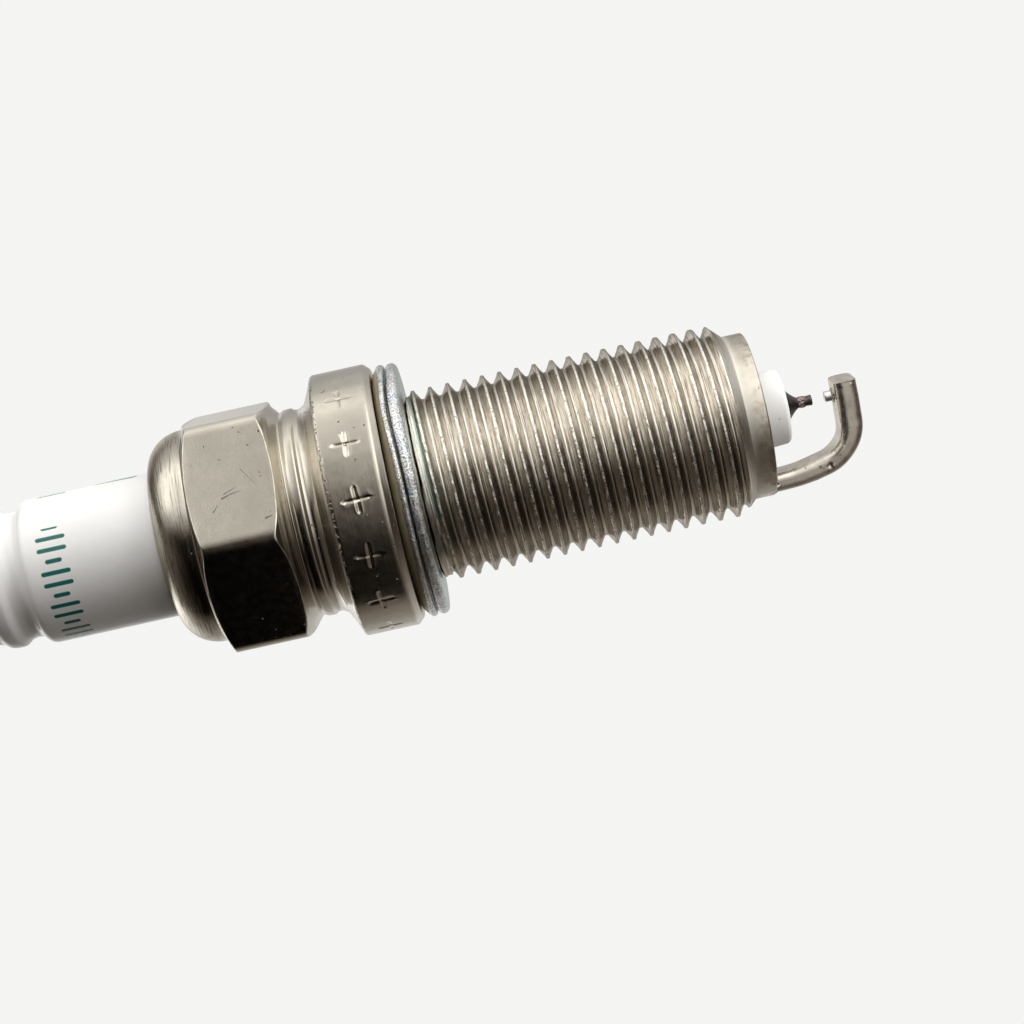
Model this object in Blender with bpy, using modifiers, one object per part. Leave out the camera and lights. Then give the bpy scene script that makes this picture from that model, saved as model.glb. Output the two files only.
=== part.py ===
"""Long-reach M14 spark plug: 16 mm hexagon, crush gasket, fine-wire iridium tip, removable terminal nut.

The plug's axis is Z, with the terminal up and the firing end down. z = 0 is the sealing face of the
crush gasket, where it meets the cylinder head. The hexagon's flats face +X and -X, and the ground
electrode is welded to the rim on the -X side. Sizes are in millimetres, and MM turns them into metres.
"""

import math

import bmesh
import bpy

MM = 0.001
SEGMENTS = 36  # sides of every turned shape
STUD_SEGMENTS = 16
FIT = 0.02  # gap left between solids that touch on the real plug

# Threaded barrel of the shell
THREAD_PITCH = 1.25
THREAD_CREST_R = 6.86
THREAD_ROOT_R = 6.12
THREAD_CREST_Z = -0.75  # height of one crest on the +X side
THREAD_TOP_Z = -0.35
THREAD_BOTTOM_Z = -22.75
RIM_Z = -24.20
NOSE_R = 5.85
NOSE_CHAMFER = 0.25

# Head of the shell: collar, groove, hexagon and rolled-over crimp
COLLAR_FACE_Z = 1.90
COLLAR_TOP_Z = 6.12
COLLAR_R = 9.40
COLLAR_EDGE = 0.38
GROOVE_R = 7.25
GROOVE_BULGE_R = 7.42
GROOVE_BOTTOM_Z = 7.35
GROOVE_TOP_Z = 8.90
HEX_ACROSS_FLATS = 16.0
HEX_CORNER_R = 9.10
HEX_BOTTOM_Z = 10.02
HEX_TOP_Z = 15.03
HEX_CHAMFER_SLOPE = 0.52  # axial length over radial length of the turned chamfers
CRIMP_BASE_R = 7.62
CRIMP_TOP_Z = 18.45
CRIMP_LIP_R = 5.42
CRIMP_LIP_THICK = 0.85

# Bores of the shell
FIRING_BORE_R = 4.15
LEDGE_R = 3.80
LEDGE_BOTTOM_Z = -14.20
LEDGE_TOP_Z = -13.40
LEDGE_CONE = 0.50  # axial length of the ledge's upper cone
BODY_BORE_R = 4.65
BODY_BORE_TOP_Z = 5.60
HEAD_BORE_R = 6.05

# Insulator
NOSE_END_Z = -26.20
NOSE_END_R = 2.55
NOSE_BASE_R = 3.45
NOSE_EDGE = 0.42
BODY_R = 4.50
SHOULDER_R = 5.90
SHOULDER_TOP_Z = 12.60
NECK_R = 5.18
NECK_BOTTOM_Z = 13.40
RIB_R = 4.98
RIB_GROOVE_R = 4.50
RIB_GROOVE_WIDTH = 2.00
RIB_PITCH = 2.90
GROOVE_COUNT = 4
FIRST_GROOVE_Z = 28.80
INSULATOR_TOP_Z = 41.80
INSULATOR_TOP_R = 3.95
INSULATOR_BORE_R = 2.05
ELECTRODE_BORE_R = 1.30
BORE_STEP_Z = -9.20

# Packing between the insulator and the shell
PACKING_THICK = 0.28
RING_WIRE_R = 0.41
LOWER_RING_Z = 13.57
UPPER_RING_Z = 17.03

# Centre electrode, seals, resistor and stud
ELECTRODE_HEAD_R = 1.95
ELECTRODE_HEAD_TOP_Z = -6.90
ELECTRODE_SHAFT_R = 1.27
ELECTRODE_END_R = 0.95
ELECTRODE_STEP_Z = -25.20
CONE_END_Z = -27.15
CONE_END_R = 0.42
CORE_R = 0.75
CORE_BOTTOM_Z = -21.0
TIP_R = 0.37
TIP_END_Z = -28.13
WELD_R = 0.46
WELD_HEIGHT = 0.26
SPARK_GAP = 0.90
RESISTOR_BOTTOM_Z = -3.50
RESISTOR_TOP_Z = 6.50
UPPER_SEAL_TOP_Z = 12.0
STUD_BOTTOM_Z = 8.60
STUD_KEY_R = 1.75
STUD_SHANK_R = 1.93
STUD_FLANGE_R = 3.10
STUD_FLANGE_THICK = 0.70
STUD_THREAD_PITCH = 0.70
STUD_CREST_R = 1.98
STUD_ROOT_R = 1.57
STUD_TOP_Z = 49.20

# Terminal nut
NUT_TOP_Z = 50.50
NUT_FLANGE_R = 3.40
NUT_WAIST_R = 2.72
NUT_HEAD_R = 3.18
NUT_BORE_R = 2.06
NUT_BORE_TOP_Z = 49.60

# Ground electrode
STRAP_TURN_DEG = 176.4  # where the strap stands, round the axis from +X
STRAP_THICK = 1.32
STRAP_WIDTH = 2.70
STRAP_CENTRE_R = 4.96
STRAP_BENDS = ((15.0, 16, 3), (3.02, 74, 10))  # radius of its middle line, degrees and steps, from the rim
STRAP_PAST_AXIS = 1.22
STRAP_EDGE = 0.22
PIP_R = 0.37
WELD_BEAD = 0.14  # width and height of the weld beads

# Crush gasket, a folded sheet
GASKET_SHEET = 0.40
GASKET_INNER_R = 6.62
GASKET_SEAT_R = 6.96
GASKET_SEAT_RISE = 0.10
GASKET_OUTER_R = 9.05
GASKET_HEIGHT = 1.84


def clear_scene():
    for old in list(bpy.data.objects):
        bpy.data.objects.remove(old)


def collection(name):
    made = bpy.data.collections.new(name)
    bpy.context.scene.collection.children.link(made)
    return made


def material(name, colour, roughness, metallic):
    made = bpy.data.materials.new(name)
    made.use_nodes = True
    shader = made.node_tree.nodes["Principled BSDF"]
    shader.inputs["Base Color"].default_value = (*colour, 1)
    shader.inputs["Roughness"].default_value = roughness
    shader.inputs["Metallic"].default_value = metallic
    return made


def add_object(name, data, mat, where):
    made = bpy.data.objects.new(name, data)
    if mat is not None:
        made.data.materials.append(mat)
    where.objects.link(made)
    return made


def set_real_mesh(obj):
    """Replaces an object's modifiers, or its curve, by the mesh they make, and shades it by angle."""
    bpy.context.view_layer.update()
    evaluated = obj.evaluated_get(bpy.context.evaluated_depsgraph_get())
    mesh = bpy.data.meshes.new_from_object(evaluated)
    if obj.type == "MESH":
        obj.modifiers.clear()
        obj.data = mesh
        made = obj
    else:
        name, where = obj.name, obj.users_collection[0]
        parent, matrix = obj.parent, obj.matrix_world.copy()
        weld_caps(mesh)
        bpy.data.objects.remove(obj)
        made = bpy.data.objects.new(name, mesh)
        where.objects.link(made)
        made.parent = parent
        made.matrix_world = matrix
    mesh.shade_smooth()
    mesh.set_sharp_from_angle(angle=math.radians(30))
    return made


def weld_caps(mesh):
    """Joins the loose caps of a mesh that came from a curve to its sides."""
    bm = bmesh.new()
    bm.from_mesh(mesh)
    bmesh.ops.remove_doubles(bm, verts=bm.verts, dist=0.001 * MM)
    bmesh.ops.recalc_face_normals(bm, faces=bm.faces)
    bm.to_mesh(mesh)
    bm.free()


def turned(name, outline, mat, where, closed=False, segments=SEGMENTS):
    """A turned solid from (radius, height) points that run down its outer side.

    An open outline starts and ends on the axis. A closed one makes a ring or a tube.
    """
    mesh = bpy.data.meshes.new(name)
    points = [(r * MM, 0, z * MM) for r, z in outline]
    edges = [(i, i + 1) for i in range(len(points) - 1)]
    if closed:
        edges.append((len(points) - 1, 0))
    mesh.from_pydata(points, edges, [])
    made = add_object(name, mesh, mat, where)
    screw = made.modifiers.new("Turn", "SCREW")
    screw.axis = "Z"
    screw.steps = screw.render_steps = segments
    screw.use_merge_vertices = True
    screw.merge_threshold = 0.0001 * MM
    return set_real_mesh(made)


def arc(centre_r, centre_z, radius, start_deg, end_deg, steps):
    """Points of an arc in the (radius, height) plane, ends included."""
    angles = [math.radians(start_deg + (end_deg - start_deg) * i / steps) for i in range(steps + 1)]
    return [(centre_r + radius * math.cos(a), centre_z + radius * math.sin(a)) for a in angles]


def ring(radius, height, wire_r, sides=10):
    """The round section of a wire ring, run clockwise."""
    return arc(radius, height, wire_r, 360, 360 / sides, sides - 1)


def cut(obj, cutter, operation="DIFFERENCE"):
    """Cuts, joins or intersects obj with another mesh for good, and removes that mesh."""
    boolean = obj.modifiers.new("Cut", "BOOLEAN")
    boolean.operation = operation
    boolean.object = cutter
    set_real_mesh(obj)
    bpy.data.objects.remove(cutter)


def thread_form(pitch, crest_r, root_r):
    """One pitch of a 60 degree thread, as (height above the crest's lower edge, radius) corners."""
    crest = pitch / 8
    flank = (crest_r - root_r) * math.tan(math.radians(30))
    return [(0, crest_r), (crest, crest_r), (crest + flank, root_r), (pitch - flank, root_r)]


def threaded_bar(name, below, above, pitch, crest_r, root_r, crest_z, columns, mat, where):
    """A solid bar with a right-hand thread between two plain ends.

    below and above are (radius, height) outlines of the ends, bottom to top. The thread lies between the
    last point of below and the first of above, and fades in and out along 45 degree chamfers there. A flat
    grid is wrapped round the axis, and its thread rows climb one pitch in a turn, so the last column meets
    the first one a pitch higher.
    """
    low_r, low_z = below[-1]
    high_r, high_z = above[0]
    first = crest_z - pitch * (math.floor((crest_z - low_z) / pitch) + 2)
    turns = math.ceil((high_z - first) / pitch) + 1
    corners = thread_form(pitch, crest_r, root_r)
    climbing = [(r, first + turn * pitch + rise) for turn in range(turns) for rise, r in corners]
    rows = below + climbing + above

    def place(row, column):
        r, z = rows[row]
        if len(below) <= row < len(below) + len(climbing):
            z = min(max(z + pitch * column / columns, low_z), high_z)
            r = min(r, low_r + (z - low_z), high_r + (high_z - z))
        angle = 2 * math.pi * column / columns
        return r * MM * math.cos(angle), r * MM * math.sin(angle), z * MM

    bm = bmesh.new()
    bmesh.ops.create_grid(bm, x_segments=columns, y_segments=len(rows) - 1, size=1)
    for vert in bm.verts:
        column = round((vert.co.x + 1) / 2 * columns)
        row = round((vert.co.y + 1) / 2 * (len(rows) - 1))
        vert.co = place(row, column)
    bmesh.ops.remove_doubles(bm, verts=bm.verts, dist=0.0005 * MM)
    bmesh.ops.holes_fill(bm, edges=bm.edges, sides=0)
    bmesh.ops.recalc_face_normals(bm, faces=bm.faces)
    mesh = bpy.data.meshes.new(name)
    bm.to_mesh(mesh)
    bm.free()
    return add_object(name, mesh, mat, where)


def flat_outline(name, loops, half_height, mat, where):
    """A slab from closed 2D loops; a loop inside another is a hole."""
    curve = bpy.data.curves.new(name, "CURVE")
    curve.dimensions = "2D"
    curve.fill_mode = "BOTH"
    curve.extrude = half_height * MM
    for points in loops:
        spline = curve.splines.new("POLY")
        spline.points.add(len(points) - 1)
        spline.use_cyclic_u = True
        for point, (x, y) in zip(spline.points, points):
            point.co = (x * MM, y * MM, 0, 1)
    return add_object(name, curve, mat, where)


def polygon(radius, sides, turn_deg=0.0):
    angles = [math.radians(turn_deg + 360 * i / sides) for i in range(sides)]
    return [(radius * math.cos(a), radius * math.sin(a)) for a in angles]


def make_shell(mat, parts, cutters):
    """Threaded barrel, collar, hexagon and crimp in one piece, as forged and rolled."""
    chamfer = HEX_CORNER_R - CRIMP_BASE_R
    groove_mid_z = (GROOVE_BOTTOM_Z + GROOVE_TOP_Z) / 2
    groove_edge_z = HEX_BOTTOM_Z - (HEX_CORNER_R - GROOVE_R) * HEX_CHAMFER_SLOPE
    crimp_base_z = HEX_TOP_Z + chamfer * HEX_CHAMFER_SLOPE
    crimp_round = CRIMP_BASE_R - CRIMP_LIP_R
    crimp_rise = CRIMP_TOP_Z - crimp_base_z
    dome = [
        (CRIMP_LIP_R + crimp_round * math.sin(a), crimp_base_z + crimp_rise * math.cos(a))
        for a in map(math.radians, (6, 24, 42, 60, 76, 90))
    ]
    head = turned(
        "metal_shell",
        [(0, CRIMP_TOP_Z), (CRIMP_LIP_R, CRIMP_TOP_Z)]
        + dome
        + [
            (HEX_CORNER_R, HEX_TOP_Z),
            (HEX_CORNER_R, HEX_BOTTOM_Z),
            (GROOVE_R, groove_edge_z),
            (GROOVE_BULGE_R, groove_mid_z),
            (GROOVE_R, GROOVE_BOTTOM_Z),
            (COLLAR_R, COLLAR_TOP_Z),
            (COLLAR_R, COLLAR_FACE_Z + COLLAR_EDGE),
            (COLLAR_R - COLLAR_EDGE, COLLAR_FACE_Z),
            (0, COLLAR_FACE_Z),
        ],
        mat,
        parts,
    )
    flats = flat_outline(
        "hexagon_cutter",
        [polygon(HEX_CORNER_R + 3, SEGMENTS), polygon(HEX_ACROSS_FLATS / 2 / math.cos(math.pi / 6), 6, 30)],
        (crimp_base_z - groove_edge_z) / 2,
        None,
        cutters,
    )
    flats.location.z = (crimp_base_z + groove_edge_z) / 2 * MM
    cut(head, set_real_mesh(flats))
    barrel = threaded_bar(
        "barrel",
        [(NOSE_R - NOSE_CHAMFER, RIM_Z), (NOSE_R, RIM_Z + NOSE_CHAMFER), (NOSE_R, THREAD_BOTTOM_Z)],
        [(THREAD_ROOT_R, THREAD_TOP_Z), (THREAD_ROOT_R, COLLAR_FACE_Z + 0.6)],
        THREAD_PITCH,
        THREAD_CREST_R,
        THREAD_ROOT_R,
        THREAD_CREST_Z,
        SEGMENTS,
        None,
        cutters,
    )
    cut(head, barrel, "UNION")
    lip_z = CRIMP_TOP_Z - CRIMP_LIP_THICK / 2
    bore = turned(
        "bore_cutter",
        [
            (0, CRIMP_TOP_Z + 1),
            (CRIMP_LIP_R - 0.05, CRIMP_TOP_Z + 1),
            (CRIMP_LIP_R - 0.05, lip_z),
            (HEAD_BORE_R, lip_z - (HEAD_BORE_R - CRIMP_LIP_R)),
            (HEAD_BORE_R, BODY_BORE_TOP_Z + (HEAD_BORE_R - BODY_BORE_R)),
            (BODY_BORE_R, BODY_BORE_TOP_Z),
            (BODY_BORE_R, LEDGE_TOP_Z + LEDGE_CONE),
            (LEDGE_R, LEDGE_TOP_Z),
            (LEDGE_R, LEDGE_BOTTOM_Z),
            (FIRING_BORE_R, LEDGE_BOTTOM_Z - 0.4),
            (FIRING_BORE_R, RIM_Z - 1),
            (0, RIM_Z - 1),
        ],
        None,
        cutters,
    )
    cut(head, bore)
    return head


def rib_outline():
    """The insulator's grooves, top to bottom: round hollows with ribs between them."""
    points = []
    half = RIB_GROOVE_WIDTH / 2
    for number in reversed(range(GROOVE_COUNT)):
        middle = FIRST_GROOVE_Z + number * RIB_PITCH
        below = NECK_R if number == 0 else RIB_R
        points += [
            (RIB_R, middle + half),
            (RIB_GROOVE_R + 0.12, middle + half * 0.45),
            (RIB_GROOVE_R, middle),
            (RIB_GROOVE_R + 0.12, middle - half * 0.45),
            (below, middle - half),
        ]
    return points


def make_insulator(mat, parts):
    """Alumina body: long nose, seat step, wide shoulder in the hexagon, ribbed neck, stepped bore."""
    seat_z = LEDGE_TOP_Z + LEDGE_CONE + PACKING_THICK + 2 * FIT
    seat_slope = LEDGE_CONE / (BODY_BORE_R - LEDGE_R)
    top_taper = INSULATOR_TOP_Z - 1.9
    outline = (
        [
            (INSULATOR_TOP_R - 0.3, INSULATOR_TOP_Z),
            (INSULATOR_TOP_R, INSULATOR_TOP_Z - 0.3),
            (RIB_R, top_taper),
        ]
        + rib_outline()
        + [
            (NECK_R, NECK_BOTTOM_Z),
            (SHOULDER_R, SHOULDER_TOP_Z),
            (SHOULDER_R, BODY_BORE_TOP_Z + 1.75),
            (BODY_R, BODY_BORE_TOP_Z + 0.35),
            (BODY_R, seat_z - (BODY_BORE_R - BODY_R) * seat_slope),
            (NOSE_BASE_R, seat_z - (BODY_BORE_R - NOSE_BASE_R) * seat_slope),
            (NOSE_END_R + 0.02, NOSE_END_Z + NOSE_EDGE),
            (NOSE_END_R - 0.12, NOSE_END_Z + 0.12),
            (NOSE_END_R - NOSE_EDGE, NOSE_END_Z),
            (ELECTRODE_BORE_R, NOSE_END_Z),
            (ELECTRODE_BORE_R, BORE_STEP_Z),
            (INSULATOR_BORE_R, BORE_STEP_Z + 0.6),
            (INSULATOR_BORE_R, INSULATOR_TOP_Z),
        ]
    )
    return turned("insulator", outline, mat, parts, closed=True)


def make_packing(steel, talc_mat, parts):
    """The seat washer under the insulator's step, and the two wire rings with talc rammed between them."""
    slope = LEDGE_CONE / (BODY_BORE_R - LEDGE_R)
    inner, outer = LEDGE_R + 0.02, BODY_BORE_R - 2 * FIT
    low = LEDGE_TOP_Z + FIT
    turned(
        "seat_washer",
        [
            (outer, low + (outer - LEDGE_R) * slope + PACKING_THICK),
            (outer, low + (outer - LEDGE_R) * slope),
            (inner, low + (inner - LEDGE_R) * slope),
            (inner, low + (inner - LEDGE_R) * slope + PACKING_THICK),
        ],
        steel,
        parts,
        closed=True,
    )
    middle_r = (HEAD_BORE_R + NECK_R) / 2
    turned("lower_packing_ring", ring(middle_r, LOWER_RING_Z, RING_WIRE_R), steel, parts, closed=True)
    turned("upper_packing_ring", ring(middle_r, UPPER_RING_Z, RING_WIRE_R), steel, parts, closed=True)
    talc_low, talc_high = LOWER_RING_Z + RING_WIRE_R + FIT, UPPER_RING_Z - RING_WIRE_R - FIT
    inner, outer = NECK_R + FIT, HEAD_BORE_R - 2 * FIT
    turned(
        "talc_filling",
        [(outer, talc_high), (outer, talc_low), (inner, talc_low), (inner, talc_high)],
        talc_mat,
        parts,
        closed=True,
    )


def make_centre_electrode(nickel, copper, iridium, weld, parts):
    """Nickel alloy electrode with a copper core, and the welded iridium wire at its tip."""
    turned(
        "centre_electrode",
        [
            (ELECTRODE_HEAD_R, ELECTRODE_HEAD_TOP_Z),
            (ELECTRODE_HEAD_R, BORE_STEP_Z + 0.6 + 2 * FIT),
            (ELECTRODE_SHAFT_R, BORE_STEP_Z + 2 * FIT),
            (ELECTRODE_SHAFT_R, ELECTRODE_STEP_Z),
            (ELECTRODE_END_R, ELECTRODE_STEP_Z - 0.3),
            (ELECTRODE_END_R, NOSE_END_Z - 0.20),
            (0.75, NOSE_END_Z - 0.45),
            (0.54, NOSE_END_Z - 0.68),
            (CONE_END_R, CONE_END_Z),
            (0, CONE_END_Z),
            (0, CORE_BOTTOM_Z),
            (CORE_R, CORE_BOTTOM_Z + 0.6),
            (CORE_R, ELECTRODE_HEAD_TOP_Z),
        ],
        nickel,
        parts,
        closed=True,
        segments=24,
    )
    core_r = CORE_R - FIT
    turned(
        "electrode_copper_core",
        [
            (0, ELECTRODE_HEAD_TOP_Z),
            (core_r, ELECTRODE_HEAD_TOP_Z),
            (core_r, CORE_BOTTOM_Z + 0.6 + FIT),
            (0, CORE_BOTTOM_Z + 2 * FIT),
        ],
        copper,
        parts,
        segments=24,
    )
    tip_top = CONE_END_Z - 0.01
    turned(
        "iridium_tip",
        [(0, tip_top), (TIP_R, tip_top), (TIP_R, TIP_END_Z), (0, TIP_END_Z)],
        iridium,
        parts,
        segments=16,
    )
    inner = TIP_R + 0.015
    turned(
        "tip_weld",
        [
            (CONE_END_R, tip_top),
            (WELD_R, tip_top - WELD_HEIGHT / 2),
            (inner + 0.02, tip_top - WELD_HEIGHT),
            (inner, tip_top - WELD_HEIGHT),
            (inner, tip_top),
        ],
        weld,
        parts,
        closed=True,
        segments=16,
    )


def make_seals_and_resistor(glass, carbon, parts):
    """What fills the insulator's bore between the centre electrode and the stud."""
    radius = INSULATOR_BORE_R - 2 * FIT
    low = ELECTRODE_HEAD_TOP_Z + FIT
    for name, bottom, top, mat in (
        ("lower_glass_seal", low, RESISTOR_BOTTOM_Z, glass),
        ("resistor", RESISTOR_BOTTOM_Z + FIT, RESISTOR_TOP_Z, carbon),
    ):
        turned(name, [(0, top), (radius, top), (radius, bottom), (0, bottom)], mat, parts, segments=24)
    pocket = STUD_KEY_R + FIT
    turned(
        "upper_glass_seal",
        [
            (0, STUD_BOTTOM_Z - FIT),
            (pocket, STUD_BOTTOM_Z - FIT),
            (pocket, UPPER_SEAL_TOP_Z),
            (radius, UPPER_SEAL_TOP_Z),
            (radius, RESISTOR_TOP_Z + FIT),
            (0, RESISTOR_TOP_Z + FIT),
        ],
        glass,
        parts,
        segments=24,
    )


def make_stud(mat, parts):
    """Terminal stud: keyed end in the glass, shank, flange on the insulator and an M4 thread."""
    flange_z = INSULATOR_TOP_Z + FIT
    flange_top = flange_z + STUD_FLANGE_THICK
    key = []
    for number in range(4):
        z = STUD_BOTTOM_Z + 0.3 + number * 0.8
        valley = STUD_KEY_R - 0.22
        key += [(STUD_KEY_R, z), (valley, z + 0.2), (valley, z + 0.4), (STUD_KEY_R, z + 0.6)]
    threaded_bar(
        "terminal_stud",
        [(STUD_KEY_R - 0.3, STUD_BOTTOM_Z)]
        + key
        + [
            (STUD_KEY_R, UPPER_SEAL_TOP_Z + 0.1),
            (STUD_SHANK_R, UPPER_SEAL_TOP_Z + 0.5),
            (STUD_SHANK_R, flange_z),
            (STUD_FLANGE_R, flange_z),
            (STUD_FLANGE_R, flange_top),
            (STUD_ROOT_R, flange_top),
            (STUD_ROOT_R, flange_top + 0.2),
        ],
        [(STUD_ROOT_R, STUD_TOP_Z - 0.02), (STUD_ROOT_R - 0.3, STUD_TOP_Z)],
        STUD_THREAD_PITCH,
        STUD_CREST_R,
        STUD_ROOT_R,
        flange_top,
        STUD_SEGMENTS,
        mat,
        parts,
    )


def make_terminal_nut(mat, parts):
    """Barrel-shaped nut with a waist for the cap's spring clip, bored from below."""
    low = INSULATOR_TOP_Z + STUD_FLANGE_THICK + 2 * FIT
    turned(
        "terminal_nut",
        [
            (0, NUT_TOP_Z),
            (NUT_HEAD_R - 0.75, NUT_TOP_Z),
            (NUT_HEAD_R - 0.15, NUT_TOP_Z - 0.4),
            (NUT_HEAD_R, NUT_TOP_Z - 0.9),
            (NUT_HEAD_R, low + 4.1),
            (NUT_WAIST_R, low + 3.5),
            (NUT_WAIST_R, low + 2.3),
            (NUT_FLANGE_R, low + 1.7),
            (NUT_FLANGE_R, low + 0.2),
            (NUT_FLANGE_R - 0.2, low),
            (NUT_BORE_R + 0.25, low),
            (NUT_BORE_R, low + 0.25),
            (NUT_BORE_R, NUT_BORE_TOP_Z),
            (0, NUT_BORE_TOP_Z + 0.3),
        ],
        mat,
        parts,
    )


def strap_line():
    """The strap's middle line from the rim, as (distance from the axis, height, turn so far) points."""
    r, z, turned_by = STRAP_CENTRE_R, RIM_Z - FIT, 0.0
    line = [(r, z, turned_by)]
    for radius, degrees, steps in STRAP_BENDS:
        for _ in range(steps):
            after = turned_by + math.radians(degrees) / steps
            r -= radius * (math.cos(turned_by) - math.cos(after))
            z -= radius * (math.sin(after) - math.sin(turned_by))
            turned_by = after
            line.append((r, z, turned_by))
    return line + [(-STRAP_PAST_AXIS, z, turned_by)]


def weld_frame(width, thick):
    """Corners of a rectangle round the strap's root, seen along the plug's axis."""
    near, far = STRAP_CENTRE_R - thick / 2, STRAP_CENTRE_R + thick / 2
    return [(near, -width / 2), (far, -width / 2), (far, width / 2), (near, width / 2)]


def make_ground_electrode(nickel, platinum, weld, parts):
    """Nickel alloy strap welded to the rim, bent over the tip, with a platinum pip facing it."""
    half = STRAP_THICK / 2
    line = strap_line()
    outer = [(r + half * math.cos(a), z - half * math.sin(a)) for r, z, a in line]
    inner = [(r - half * math.cos(a), z + half * math.sin(a)) for r, z, a in line]
    turn = bpy.data.objects.new("strap_turn", None)
    turn.rotation_euler.z = math.radians(STRAP_TURN_DEG)
    parts.objects.link(turn)
    flat_half = STRAP_WIDTH / 2 - STRAP_EDGE
    strap = flat_outline("ground_electrode", [outer + inner[::-1]], flat_half, nickel, parts)
    strap.parent = turn
    strap.rotation_euler.x = math.pi / 2
    strap.data.bevel_depth = STRAP_EDGE * MM
    strap.data.bevel_resolution = 1
    strap.data.offset = -STRAP_EDGE * MM
    set_real_mesh(strap)
    bead = flat_outline(
        "strap_weld",
        [
            weld_frame(STRAP_WIDTH + 2 * WELD_BEAD, STRAP_THICK + 2 * WELD_BEAD),
            weld_frame(STRAP_WIDTH + 2 * FIT, STRAP_THICK + 2 * FIT),
        ],
        WELD_BEAD / 2,
        weld,
        parts,
    )
    bead.parent = turn
    bead.location.z = (RIM_Z - FIT - WELD_BEAD / 2) * MM
    set_real_mesh(bead)
    pip_top, pip_base = TIP_END_Z - SPARK_GAP, line[-1][1] + half + FIT
    pip = turned(
        "ground_pip",
        [(0, pip_top), (PIP_R, pip_top), (PIP_R, pip_base), (0, pip_base)],
        platinum,
        parts,
        segments=16,
    )
    pip.parent = turn
    foot = PIP_R + FIT
    ring_weld = turned(
        "pip_weld",
        [(foot, pip_base + WELD_BEAD), (foot + WELD_BEAD, pip_base), (foot, pip_base)],
        weld,
        parts,
        closed=True,
        segments=16,
    )
    ring_weld.parent = turn


def make_gasket(mat, parts):
    """Crush gasket: one sheet folded into three rings, the upper one dished towards the collar."""
    half = GASKET_SHEET / 2
    outer_fold = (GASKET_OUTER_R - GASKET_SHEET - 0.03, 0.43)
    inner_fold = (GASKET_INNER_R + 0.58, 1.15)
    fold = 0.23
    wide = inner_fold[1] + (GASKET_HEIGHT - half - inner_fold[1]) - (outer_fold[1] + fold)
    inner_radius = wide / 2
    inner_z = outer_fold[1] + fold + inner_radius
    middle = (
        [(GASKET_INNER_R, outer_fold[1] - fold)]
        + arc(outer_fold[0], outer_fold[1], fold, -90, 90, 6)
        + arc(inner_fold[0], inner_z, inner_radius, 270, 90, 8)
        + [(GASKET_OUTER_R - 0.02, 1.24)]
    )
    left, right = [], []
    for before, here, after in zip([middle[0]] + middle, middle, middle[1:] + [middle[-1]]):
        along_r, along_z = after[0] - before[0], after[1] - before[1]
        length = math.hypot(along_r, along_z)
        side_r, side_z = -along_z / length * half, along_r / length * half
        left.append((here[0] + side_r, here[1] + side_z))
        right.append((here[0] - side_r, here[1] - side_z))
    # The inner edge lifts off the seat, so the flat face clears the thread's crests
    right[:1] = [(GASKET_INNER_R, GASKET_SEAT_RISE), (GASKET_SEAT_R, 0.0)]
    turned("crush_gasket", left + right[::-1], mat, parts, closed=True)


def main():
    clear_scene()
    parts = collection("spark_plug")
    cutters = collection("spark_plug_cutters")
    plated = material("nickel_plate", (0.58, 0.55, 0.50), 0.28, 1.0)
    ceramic = material("glazed_alumina", (0.90, 0.89, 0.87), 0.12, 0.0)
    zinc = material("zinc_plate", (0.52, 0.56, 0.53), 0.32, 1.0)
    nickel = material("nickel_alloy", (0.50, 0.47, 0.43), 0.38, 1.0)
    iridium = material("iridium", (0.30, 0.29, 0.28), 0.40, 1.0)
    platinum = material("platinum", (0.68, 0.67, 0.64), 0.25, 1.0)
    copper = material("copper", (0.80, 0.42, 0.25), 0.30, 1.0)
    weld = material("weld_metal", (0.42, 0.36, 0.34), 0.35, 1.0)
    glass = material("seal_glass", (0.20, 0.16, 0.13), 0.30, 0.0)
    carbon = material("resistor_carbon", (0.05, 0.05, 0.05), 0.80, 0.0)
    talc = material("talc", (0.85, 0.84, 0.80), 0.95, 0.0)
    steel = material("packing_steel", (0.45, 0.45, 0.45), 0.40, 1.0)

    make_shell(plated, parts, cutters)
    make_insulator(ceramic, parts)
    make_packing(steel, talc, parts)
    make_centre_electrode(nickel, copper, iridium, weld, parts)
    make_seals_and_resistor(glass, carbon, parts)
    make_stud(plated, parts)
    make_terminal_nut(plated, parts)
    make_ground_electrode(nickel, platinum, weld, parts)
    make_gasket(zinc, parts)


main()
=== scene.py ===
"""Looks of the spark plug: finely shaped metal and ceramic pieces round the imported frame.

The plug's axis is Z, terminal up. Sizes in this script are millimetres, and MM turns them into metres.
Azimuths are degrees round the axis from +X. The camera stands at CAMERA_AZIMUTH.
"""

from math import acos, ceil, cos, degrees, exp, floor, hypot, pi, radians, sin, tan

import bmesh
import bpy
import numpy as np
from mathutils import Matrix, Vector


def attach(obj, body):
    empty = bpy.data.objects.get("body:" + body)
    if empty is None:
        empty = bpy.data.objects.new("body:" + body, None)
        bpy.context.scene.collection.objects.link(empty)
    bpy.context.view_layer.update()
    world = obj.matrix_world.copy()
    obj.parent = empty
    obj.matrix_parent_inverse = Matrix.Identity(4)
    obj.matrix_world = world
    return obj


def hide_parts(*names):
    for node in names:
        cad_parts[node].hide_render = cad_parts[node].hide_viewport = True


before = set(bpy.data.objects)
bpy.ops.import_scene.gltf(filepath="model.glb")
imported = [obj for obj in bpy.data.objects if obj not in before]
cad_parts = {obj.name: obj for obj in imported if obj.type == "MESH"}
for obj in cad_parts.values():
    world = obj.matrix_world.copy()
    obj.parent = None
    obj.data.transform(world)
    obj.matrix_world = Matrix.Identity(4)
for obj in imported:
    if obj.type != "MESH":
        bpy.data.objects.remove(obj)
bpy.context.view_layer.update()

MM = 0.001
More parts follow.
